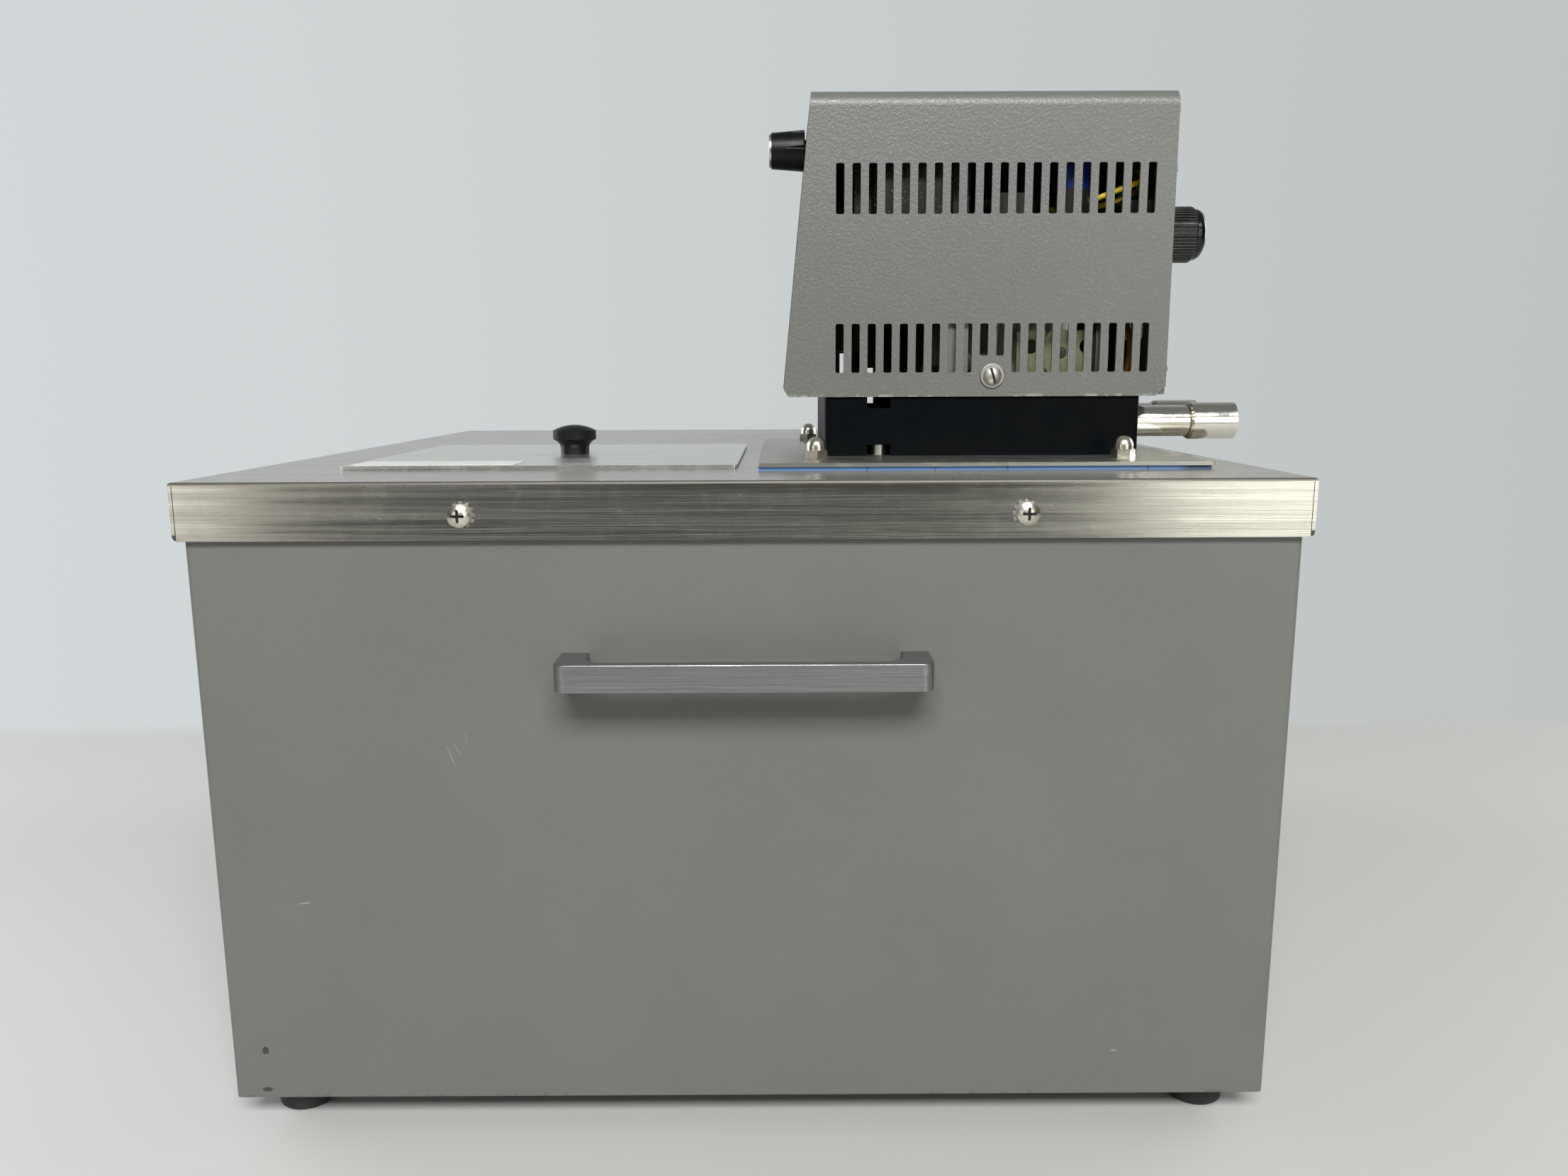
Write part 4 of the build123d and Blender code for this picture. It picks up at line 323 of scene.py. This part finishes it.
def shroud_finish():
    s = moulding_finish("shroud_black", linear(5, 8, 11), 0.42, 900.0, 0.00004, 0.01)
    s.set("Specular IOR Level", 0.05)
    dust = s.span(s.noise(400.0, 5.0, 0.8), 0.66, 0.74, 0.0, 0.03)
    base = s.source("Base Color")
    s.set("Base Color", s.mix(dust, base, linear(90, 92, 92)))
    return s


def foam_finish():
    s = Shader("foam", Roughness=0.9)
    cells = s.spots(700.0)
    s.set("Base Color", s.mix(s.span(cells, 0.1, 0.6), linear(150, 120, 66), linear(214, 190, 130)))
    s.set("Normal", s.bump(cells, 0.0004, 0.8))
    return s


def glass_finish():
    s = Shader("display_red", Roughness=0.06, IOR=1.49)
    s.set("Base Color", s.mix(s.noise(40.0), linear(50, 6, 8), linear(70, 8, 10)))
    s.set("Coat Weight", 0.6)
    return s


def lens_finish():
    s = Shader("lamp_lens", Roughness=0.18, IOR=1.49)
    rings = s.spots(900.0)
    s.set("Base Color", s.mix(s.span(rings, 0.1, 0.5), linear(190, 60, 14), linear(236, 112, 30)))
    s.set("Normal", s.bump(rings, 0.0002, 0.6))
    return s


def board_finish():
    """Green board with solder points. The two tall cans are blue, and the row of small parts is dark."""
    s = Shader("board_green", Roughness=0.38)
    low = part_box("control_board")[0]
    height = s.axis("Z")
    solder = s.span(s.spots(260.0), 0.0, 0.12, 0.8, 0.0)
    green = s.mix(s.noise(160.0), linear(22, 70, 44), linear(30, 92, 56))
    base = s.mix(solder, green, linear(190, 192, 188))
    base = s.mix(s.span(height, low.z + 0.0022, low.z + 0.0024), base, linear(38, 36, 34))
    base = s.mix(s.span(height, low.z + 0.018, low.z + 0.0185), base, linear(14, 34, 112))
    s.set("Base Color", base)
    return s


def wiring_finish():
    """Yellow insulation on the pair at the rear of the head, red on the pair at its front."""
    s = moulding_finish("wire_insulation", linear(226, 184, 30), 0.42)
    base = s.source("Base Color")
    front = s.span(s.axis("X"), 0.085, 0.086, 1.0, 0.0)
    s.set("Base Color", s.mix(front, base, linear(170, 22, 22)))
    return s


def laminated_finish():
    """Black lacquered steel laminations with pale specks of dust."""
    s = Shader("transformer_lacquer", Roughness=0.45)
    sheets = s.noise(900.0, 1.0, 0.5, (1.0, 0.02, 0.02))
    lacquer = s.mix(sheets, linear(5, 6, 7), linear(26, 28, 30))
    s.set("Base Color", s.mix(s.span(s.noise(900.0, 4.0, 0.7), 0.61, 0.68), lacquer, linear(150, 152, 150)))
    s.set("Normal", s.bump(sheets, 0.0003, 0.8))
    return s


def fins_finish():
    """A stack of thin aluminium fins, with painted shade in the gaps between them."""
    s = Shader("condenser_fins", Metallic=0.9, Roughness=0.4)
    inputs = {"Vector": s.place, "Scale": 160.0}
    wave = s.add("ShaderNodeTexWave", inputs, wave_type="BANDS", bands_direction="Y").outputs["Fac"]
    # Painted shade: the gaps between the fins are dark.
    gap_shade = s.span(wave, 0.25, 0.6)
    s.set("Base Color", s.mix(gap_shade, linear(40, 40, 40), linear(196, 198, 198)))
    s.set("Normal", s.bump(wave, 0.0006, 0.9))
    return s


FINISHES = {
    deck_screw_finish: ["deck_screws"],
    cover_screw_finish: ["cover_screws"],
    casing_finish: ["casing"],
    head_finish: ["head_cover", "rear_panel"],
    deck_finish: ["deck_top"],
    gasket_finish: ["plate_gasket"],
    shroud_finish: ["base_shroud"],
    foam_finish: ["foam_jacket"],
    glass_finish: ["display_window"],
    lens_finish: ["pilot_lamps"],
    board_finish: ["control_board"],
    wiring_finish: ["wiring"],
    laminated_finish: ["transformer"],
    fins_finish: ["condenser"],
    lambda: steel_finish("lid_sheet", linear(234, 234, 230), 0, 0.27, 1.0, 0.6): ["lid"],
    lambda: steel_finish("plate_sheet", linear(182, 182, 174), 0, 0.33, 1.0, 0.8): ["mounting_plate"],
    lambda: steel_finish("handle_bar", linear(156, 159, 160), 0, 0.34, 0.2, 1.5): [
        "right_handle", "left_handle"],
    lambda: steel_finish("drawn_steel", linear(196, 196, 192), 2, 0.28, 0.5): [
        "bath_tank", "pump_columns", "pump_housing", "temperature_probe", "float_stem", "motor_shaft"],
    lambda: metal_finish("tube_steel", linear(226, 223, 214), 0.13, tarnish=0.2): [
        "supply_pipe", "return_pipe"],
    lambda: metal_finish("galvanised", linear(176, 180, 182), 0.42, 120.0, 0.00006): [
        "base_pan", "fan_shroud"],
    # The chassis zinc is darker than the galvanised parts: painted shade for its place inside the head.
    lambda: metal_finish("chassis_zinc_shaded", linear(118, 119, 116), 0.46, 120.0, 0.00006, 0.5): ["chassis"],
    lambda: metal_finish("bright_nickel", linear(214, 210, 196), 0.24): [
        "foot_screws", "handle_screws", "acorn_nuts"],
    lambda: metal_finish("washer_zinc", linear(168, 166, 156), 0.44): ["tooth_washers", "cover_washers"],
    lambda: metal_finish("black_oxide", linear(44, 44, 44), 0.4): ["rear_panel_screws"],
    lambda: metal_finish("copper", linear(196, 128, 92), 0.33, 90.0): [
        "evaporator_coil", "refrigerant_lines"],
    lambda: metal_finish("winding_copper", linear(150, 84, 46), 0.4): ["motor_stator"],
    lambda: metal_finish("motor_casting", linear(150, 153, 142), 0.46, 160.0, 0.0001): ["motor_housing"],
    lambda: metal_finish("cap_aluminium", linear(200, 202, 204), 0.28): ["setpoint_cap"],
    lambda: metal_finish("heater_sheath", linear(122, 112, 98), 0.44): ["heater_coil"],
    lambda: moulding_finish("panel_dark", linear(62, 64, 66), 0.45, 1400.0): ["front_panel"],
    lambda: moulding_finish("knob_satin", linear(7, 9, 10), 0.40, 1500.0, 0.00001, 0.02, 0.25): [
        "lid_knob", "setpoint_knob", "potentiometer", "cutout_thermostat", "display_bezel",
        "switch_housings"],
    lambda: moulding_finish("knob_gloss", linear(6, 7, 8), 0.13, 1500.0, 0.00001, 0.02): [
        "cutout_knob", "power_rocker", "cooling_rocker"],
    lambda: moulding_finish("socket_black", linear(14, 15, 16), 0.48, dust=0.06): [
        "mains_inlet", "fuse_holder"],
    lambda: moulding_finish("foot_rubber", linear(26, 27, 27), 0.62, 900.0, 0.00008, 0.5): ["feet"],
    lambda: moulding_finish("fan_plastic", linear(22, 23, 24), 0.5): ["motor_fan", "condenser_fan"],
    lambda: moulding_finish("pump_plastic", linear(205, 202, 188), 0.4): ["impeller", "level_float"],
    lambda: moulding_finish("compressor_enamel", linear(20, 21, 22), 0.3, 500.0, 0.0001): ["compressor"],
}
for finish, names in FINISHES.items():
    material = finish().material
    for name in names:
        nodes[name].data.materials.clear()
        nodes[name].data.materials.append(material)


# ================= pieces =================
def solid(name, build, material, body):
    """A new piece whose mesh is made by build(bmesh), riding on a CAD body."""
    mesh = bpy.data.meshes.new(name)
    shape = bmesh.new()
    build(shape)
    bmesh.ops.recalc_face_normals(shape, faces=shape.faces)
    shape.to_mesh(mesh)
    shape.free()
    mesh.materials.append(material)
    piece = bpy.data.objects.new(name, mesh)
    bpy.context.scene.collection.objects.link(piece)
    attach(piece, body)
    return piece


def frame_at(point, normal, up=Z):
    """A matrix whose local Z is the normal and whose local Y leans towards up."""
    across = up.cross(normal).normalized()
    matrix = Matrix((across, normal.cross(across), normal)).transposed().to_4x4()
    matrix.translation = point
    return matrix


def slab(shape, place, width, height, low, high, corner=0.0, steps=5):
    """A flat plate with rounded corners on place's local XY plane, from low to high along its normal."""
    points = []
    for turn, (sx, sy) in enumerate(((1, 1), (-1, 1), (-1, -1), (1, -1))):
        for step in range(steps + 1):
            angle = (turn + step / steps) * pi / 2
            points.append((sx * (width / 2 - corner) + corner * cos(angle),
                           sy * (height / 2 - corner) + corner * sin(angle)))
    prism(shape, place, points, low, high)


def prism(shape, place, points, low, high):
    rings = [[shape.verts.new(place @ Vector((x, y, z))) for x, y in points] for z in (low, high)]
    shape.faces.new(rings[1])
    shape.faces.new(list(reversed(rings[0])))
    for a in range(len(points)):
        b = (a + 1) % len(points)
        shape.faces.new((rings[0][a], rings[0][b], rings[1][b], rings[1][a]))


def lathe(shape, place, profile, count=40, wobble=None):
    """Turn a closed profile of (radius, height) about place's normal."""
    rings = []
    for i in range(count):
        angle = 2 * pi * i / count
        extra = wobble(angle) if wobble else 0.0
        across = Vector((cos(angle), sin(angle), 0))
        rings.append([shape.verts.new(place @ (across * (r + extra) + Z * z)) for r, z in profile])
    for i in range(count):
        near, far = rings[i], rings[(i + 1) % count]
        for j in range(len(profile)):
            k = (j + 1) % len(profile)
            shape.faces.new((near[j], far[j], far[k], near[k]))


def plate_with_holes(shape, place, width, height, holes, low, high, count=20):
    """A rectangular plate cut into one column per hole, each column a ring between hole and edge."""
    edges = [-width / 2]
    ordered = sorted(holes)
    for before, after in zip(ordered, ordered[1:]):
        edges.append((before[0] + after[0]) / 2)
    edges.append(width / 2)
    for hole, left, right in zip(ordered, edges, edges[1:]):
        outer, inner = [], []
        for step in range(count):
            angle = 2 * pi * (step + 0.5) / count
            dx, dy = cos(angle), sin(angle)
            reach = min((right - hole[0]) / dx if dx > 0 else (left - hole[0]) / dx,
                        (height / 2 - hole[1]) / dy if dy > 0 else (-height / 2 - hole[1]) / dy)
            outer.append((hole[0] + dx * reach, hole[1] + dy * reach))
            inner.append((hole[0] + dx * hole[2], hole[1] + dy * hole[2]))
        rings = [[shape.verts.new(place @ Vector((x, y, z))) for x, y in ring]
                 for ring, z in ((inner, high), (outer, high), (outer, low), (inner, low))]
        for a in range(count):
            b = (a + 1) % count
            for k in range(4):
                near, far = rings[k], rings[(k + 1) % 4]
                shape.faces.new((near[a], near[b], far[b], far[a]))


# ---- paper label on the lid, blank ----
def label_finish():
    s = Shader("label_paper", Roughness=0.5)
    stain = s.span(s.noise(60.0, 4.0, 0.7), 0.5, 0.72, 0.0, 0.45)
    s.set("Base Color", s.mix(stain, linear(210, 211, 207), linear(190, 176, 148)))
    s.set("Normal", s.bump(s.noise(900.0), 0.00003, 0.5))
    return s.material


def lid_label():
    low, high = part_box("lid")
    width, depth = 0.078, 0.026
    centre = Vector((low.x + 0.042, low.y + 0.018, 0))

    def build(shape):
        slab(shape, Matrix.Translation((centre.x, centre.y, high.z)), width, depth, 0.00003, 0.00016, 0.002)
    solid("lid_label", build, label_finish(), "lid")


lid_label()


# ---- weld beads where each tube enters its socket ----
SOCKET_RADIUS = 9.525 * MM
SOCKET_LENGTH = 22.4 * MM
TUBE_RADIUS = 7.94 * MM
BEAD_STEPS = 10


def tube_welds():
    finish = metal_finish("weld_bead", linear(170, 164, 150), 0.34, 500.0, 0.0001, 0.6).material
    for label in ("supply_pipe", "return_pipe"):
        low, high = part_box(label)
        middle = Vector((high.x - SOCKET_LENGTH, (low.y + high.y) / 2, high.z - SOCKET_RADIUS))
        place = frame_at(middle, X)

        def build(shape):
            size = SOCKET_RADIUS - TUBE_RADIUS
            profile = []
            for step in range(BEAD_STEPS):
                around = step * 2 * pi / BEAD_STEPS
                profile.append((TUBE_RADIUS - 0.2 * MM + size * 0.42 * (1 - cos(around)),
                                -size * 0.9 * sin(around) - 0.1 * MM))
            lathe(shape, place, profile, 64, lambda a: 0.10 * MM * sin(23 * a) + 0.05 * MM * sin(37 * a + 1))
        solid(label + "_weld", build, finish, "body")


tube_welds()

# ---- what shows through the slots of the head ----
def wire(name, points, radius, colour):
    """An insulated wire on a smooth line through the head, in millimetres."""
    curve = bpy.data.curves.new(name, "CURVE")
    curve.dimensions = "3D"
    curve.bevel_depth = radius * MM
    curve.bevel_resolution = 4
    line = curve.splines.new("NURBS")
    line.points.add(len(points) - 1)
    for point, place in zip(line.points, points):
        point.co = (place[0] * MM, place[1] * MM, place[2] * MM, 1)
    line.order_u = 3
    line.use_endpoint_u = True
    curve.materials.append(moulding_finish(name + "_pvc", colour, 0.35, 900.0, 0.00003, 0.2).material)
    piece = bpy.data.objects.new(name, curve)
    bpy.context.scene.collection.objects.link(piece)
    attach(piece, "body")
    return piece


def loom():
    """The wires between the board, the lamps and the inlet."""
    yellow = linear(238, 206, 40)
    upper = [(134, -100, 414), (150, -116, 419), (162, -126, 424.4), (176, -128, 429.8), (189, -126, 434.6),
             (194, -108, 440), (195, -96, 444)]
    first = wire("yellow_wire_1", upper, 1.4, yellow)
    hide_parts("wiring")
    lower = [(138, -98, 428), (152, -112, 421), (168, -121, 422.5), (184, -122, 428), (193, -110, 433),
             (195, -94, 438)]
    wire("yellow_wire_2", lower, 1.3, yellow)
    blue = [(172, -96, 404), (176, -112, 411), (178, -122, 420), (180, -120, 429), (188, -100, 436)]
    wire("blue_wire", blue, 1.4, linear(84, 168, 220))
    red = [(46, -112, 345), (45, -114, 390), (52, -116, 412), (64, -122, 419), (74, -108, 410)]
    wire("red_wire", red, 1.1, linear(150, 26, 28))
    brown = [(188, -112, 338), (189, -118, 350), (188, -119, 362), (186, -108, 376)]
    wire("brown_wire", brown, 1.4, linear(150, 104, 34))


def far_shade_sheet():
    """A black sheet inside the far wall of the head, standing in for the shade inside it, notched where
    daylight comes through.
    """
    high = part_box("head_cover")[1]
    outline = [(51, 341), (60.2, 341), (60.2, 345.5), (65.4, 345.5), (65.4, 341), (197, 341), (197, 467),
               (59.5, 467), (59.5, 400), (51.5, 400), (51.5, 467), (37, 467), (37, 385), (51, 385)]

    def build(shape):
        place = frame_at(Vector((0, high.y - 2.2 * MM, 0)), -Y)
        prism(shape, place, [(x * MM, z * MM) for x, z in outline], 0.0, 0.4 * MM)
    # The black sheet is painted shade inside the head.
    finish = moulding_finish("shade_sheet_black", linear(16, 17, 18), 0.6, 700.0, 0.00005)
    solid("far_shade_sheet", build, finish.material, "body")


def motor_mount():
    """A pressed zinc bracket and a cast end plate with holes, beside the motor."""
    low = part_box("head_cover")[0]
    near = low.y + 14 * MM
    strap = metal_finish("bracket_zinc", linear(150, 150, 142), 0.3, 200.0, 0.00005, 0.5).material
    cast = metal_finish("end_plate_zinc", linear(148, 150, 122), 0.42, 260.0, 0.0001, 0.7).material

    def bracket(shape):
        place = frame_at(Vector((105 * MM, near, 347.5 * MM)), -Y)
        holes = [(-4 * MM, 0, 2.0 * MM), (7 * MM, 0.5 * MM, 1.6 * MM)]
        plate_with_holes(shape, place, 24 * MM, 8 * MM, holes, 0.0, 1.2 * MM)
    solid("motor_bracket", bracket, strap, "body")

    def end_plate(shape):
        place = frame_at(Vector((152 * MM, near + 1 * MM, 352 * MM)), -Y)
        holes = [(-16 * MM, 3 * MM, 3.6 * MM), (-1 * MM, 0, 3.0 * MM), (12 * MM, 3 * MM, 3.6 * MM)]
        plate_with_holes(shape, place, 46 * MM, 22 * MM, holes, 0.0, 1.6 * MM)
    solid("motor_end_plate", end_plate, cast, "body")


loom()
far_shade_sheet()
motor_mount()


# ---- marks on the two control faces ----
def dial(name, centre, normal, inner, outer, first, last, count, body):
    """Printed ticks round a knob, every fourth one longer, swept from first to last in degrees."""
    ink = moulding_finish("printed_ink", linear(206, 207, 203), 0.5).material

    def build(shape):
        base = frame_at(centre, normal)
        for step in range(count):
            turn = radians(first + (last - first) * step / (count - 1))
            reach = outer if step % 4 == 0 else inner + (outer - inner) * 0.6
            place = base @ Matrix.Rotation(turn, 4, "Z") @ Matrix.Translation((0, (inner + reach) / 2, 0))
            slab(shape, place, 0.5 * MM, reach - inner, 0.0, 0.06 * MM, 0.1 * MM, 2)
    solid(name, build, ink, body)


def digits():
    """Three seven-segment digits with a point, behind the display window's face."""
    low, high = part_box("display_window")
    segments = {"a": (0, 1, 1), "b": (0.5, 0.5, 0), "c": (0.5, -0.5, 0), "d": (0, -1, 1),
                "e": (-0.5, -0.5, 0), "f": (-0.5, 0.5, 0), "g": (0, 0, 1)}
    lit = {"2": "abged", "5": "afgcd", "0": "abcdef"}
    glow = Shader("display_digit", Roughness=0.4)
    glow.set("Base Color", glow.mix(glow.noise(900.0), linear(255, 40, 30), linear(230, 24, 20)))
    glow.set("Emission Color", linear(255, 40, 24))
    glow.set("Emission Strength", 0.5)
    tall = (high.z - low.z) * 0.29
    pitch = tall * 1.55

    def build(shape):
        base = frame_at(Vector((low.x, (low.y + high.y) / 2, (low.z + high.z) / 2)), -X)
        for index, figure in enumerate("250"):
            for key in lit[figure]:
                across, up, level = segments[key]
                size = (tall * 0.8, tall * 0.16) if level else (tall * 0.16, tall * 0.8)
                place = base @ Matrix.Translation(((index - 1) * pitch + across * tall, up * tall, 0))
                slab(shape, place, size[0], size[1], 0.0, 0.05 * MM, tall * 0.07, 2)
        point = base @ Matrix.Translation((pitch * 0.5, -tall, 0))
        slab(shape, point, tall * 0.2, tall * 0.2, 0.0, 0.05 * MM, tall * 0.09, 3)
    solid("display_digits", build, glow.material, "body")


def pointer(name, node, body, normal):
    """A printed index line on the end of a knob."""
    low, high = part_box(node)
    middle = (low + high) / 2
    end = Vector((low.x if normal.x < 0 else high.x, middle.y, middle.z))
    radius = (high.z - low.z) / 2
    ink = moulding_finish(name + "_ink", linear(226, 226, 222), 0.45).material

    def build(shape):
        place = frame_at(end, normal) @ Matrix.Translation((0, radius * 0.5, 0))
        slab(shape, place, 1.0 * MM, radius * 0.6, 0.0, 0.05 * MM, 0.3 * MM, 3)
    solid(name, build, ink, body)


def rating_plate():
    """A blank foil plate under the vents of the rear panel."""
    foil = steel_finish("foil_plate", linear(206, 208, 208), 1, 0.3, 0.2, 0.4).material
    low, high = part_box("rear_panel")

    def build(shape):
        place = frame_at(Vector((high.x, (low.y + high.y) / 2 + 8 * MM, low.z + 15 * MM)), X)
        slab(shape, place, 46 * MM, 15 * MM, 0.0, 0.12 * MM, 1.5 * MM)
    solid("rating_plate", build, foil, "body")


def control_marks():
    panel_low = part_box("front_panel")[0]
    knob_low, knob_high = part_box("setpoint_knob")
    centre = (knob_low + knob_high) / 2
    face = Vector((panel_low.x, centre.y, centre.z))
    dial("setpoint_scale", face, -X, 12.6 * MM, 15.4 * MM, -140, 140, 29, "body")
    rear_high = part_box("rear_panel")[1]
    knob_low, knob_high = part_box("cutout_knob")
    centre = (knob_low + knob_high) / 2
    face = Vector((rear_high.x, centre.y, centre.z))
    dial("cutout_scale", face, X, 15.4 * MM, 18.0 * MM, -135, 135, 25, "body")


control_marks()
pointer("cutout_pointer", "cutout_knob", "cutout_control", X)
digits()
rating_plate()

# ================= stage, light and camera =================
def stage_finish(name, left, right):
    """A matt bench top, its tone running from left to right as painted shading, darker to the right, with
    faint clouds and scuffs.
    """
    s = Shader(name, Roughness=0.5)
    # Painted shading: the bench runs from lighter on the left to darker on the right.
    colour = s.mix(s.span(s.axis("X"), -0.4, 0.3), left, right)
    cloud = s.noise(1.6, 4.0, 0.55)
    scuffs = s.noise(30.0, 5.0, 0.75, (0.3, 1.0, 1.0), distort=1.0)
    tone = s.mix(s.span(cloud, 0.35, 0.7, 0.0, 0.12), colour, linear(168, 168, 166))
    s.set("Base Color", s.mix(s.span(scuffs, 0.66, 0.76, 0.0, 0.12), tone, linear(150, 150, 148)))
    return s


def floor():
    """A pale bench that fades into the plain background behind the object and far out to its other sides."""
    bpy.ops.mesh.primitive_plane_add(size=8)
    bench = bpy.context.object
    bench.name = "bench"
    s = stage_finish("bench_top", linear(197, 197, 195), linear(184, 184, 180))
    back, soft = 0.385, 0.03
    behind = s.span(s.axis("Y"), back - soft, back + soft, smooth=True)
    radius = s.add("ShaderNodeVectorMath", {0: s.place}, operation="LENGTH").outputs["Value"]
    fade = s.math("MAXIMUM", behind, s.span(radius, 1.1, 1.7, smooth=True))
    clear = s.add("ShaderNodeBsdfTransparent").outputs[0]
    blend = s.add("ShaderNodeMixShader", {0: fade, 1: s.surface.outputs[0], 2: clear})
    s.tree.links.new(blend.outputs[0], s.tree.nodes["Material Output"].inputs["Surface"])
    bench.data.materials.append(s.material)


def room():
    """The camera sees a pale wall. The object is lit by that wall behind it and a dim room in front."""
    world = bpy.data.worlds.new("studio")
    bpy.context.scene.world = world
    world.use_nodes = True
    tree = world.node_tree

    def add(kind, inputs=None, **settings):
        return new_node(tree, kind, inputs, **settings).outputs

    def blend(factor, first, second):
        return add("ShaderNodeMix", {0: factor, 6: first, 7: second}, data_type="RGBA")[2]

    way = add("ShaderNodeSeparateXYZ", {0: add("ShaderNodeTexCoord")["Generated"]})
    left_to_right = add("ShaderNodeMapRange", {0: way["X"], 1: -0.6, 2: 0.6})[0]
    wall = blend(left_to_right, linear(212, 217, 219), linear(190, 194, 194))
    behind = add("ShaderNodeMapRange", {0: way["Y"], 1: -0.25, 2: 0.45})[0]
    above = add("ShaderNodeMapRange", {0: way["Z"], 1: 0.25, 2: 0.9})[0]
    lit = blend(above, blend(behind, linear(58, 58, 56), wall), linear(118, 120, 120))
    seen = add("ShaderNodeLightPath")["Is Camera Ray"]
    tree.links.new(blend(seen, lit, wall), tree.nodes["Background"].inputs["Color"])


def lamp(name, place, aim, size, power, shade=(1, 1, 1)):
    light = bpy.data.lights.new(name, "AREA")
    light.shape = "RECTANGLE"
    light.size, light.size_y = size
    light.energy = power
    light.color = shade
    lamp_object = bpy.data.objects.new(name, light)
    bpy.context.scene.collection.objects.link(lamp_object)
    lamp_object.location = place
    lamp_object.visible_camera = False
    lamp_object.rotation_euler = (Vector(aim) - Vector(place)).to_track_quat("-Z", "Y").to_euler()


floor()
room()
# The overhead lamp is the main one. Each window shows in one end of the deck's lip, and the end lamps
# light the casing's two ends.
lamp("overhead", (0.1, -2.1, 1.95), (0, -0.2, 0.2), (1.7, 0.7), 90)
lamp("left_window", (-1.50, -2.0, 0.55), (-1.50, 0, 0.55), (0.9, 1.1), 5.5, (1, 0.98, 0.92))
lamp("right_window", (1.20, -2.0, 0.55), (1.20, 0, 0.55), (0.95, 1.1), 8, (1, 0.99, 0.93))
lamp("left_end", (-2.3, 0.9, 0.9), (0, 0.05, 0.2), (1.2, 1.2), 28)
lamp("right_end", (2.3, 0.9, 0.9), (0, 0.05, 0.2), (1.2, 1.2), 28)

CAMERA_PLACE = (10.96 * MM, -727.2 * MM, 340.8 * MM)
CAMERA_TURN = (radians(79.769), radians(0.246), radians(-0.139))
camera = bpy.data.cameras.new("camera")
camera.sensor_width = 36
camera.lens = 26.91
view = bpy.data.objects.new("camera", camera)
bpy.context.scene.collection.objects.link(view)
view.location = CAMERA_PLACE
view.rotation_euler = CAMERA_TURN
bpy.context.scene.camera = view
bpy.context.scene.view_settings.view_transform = "Standard"
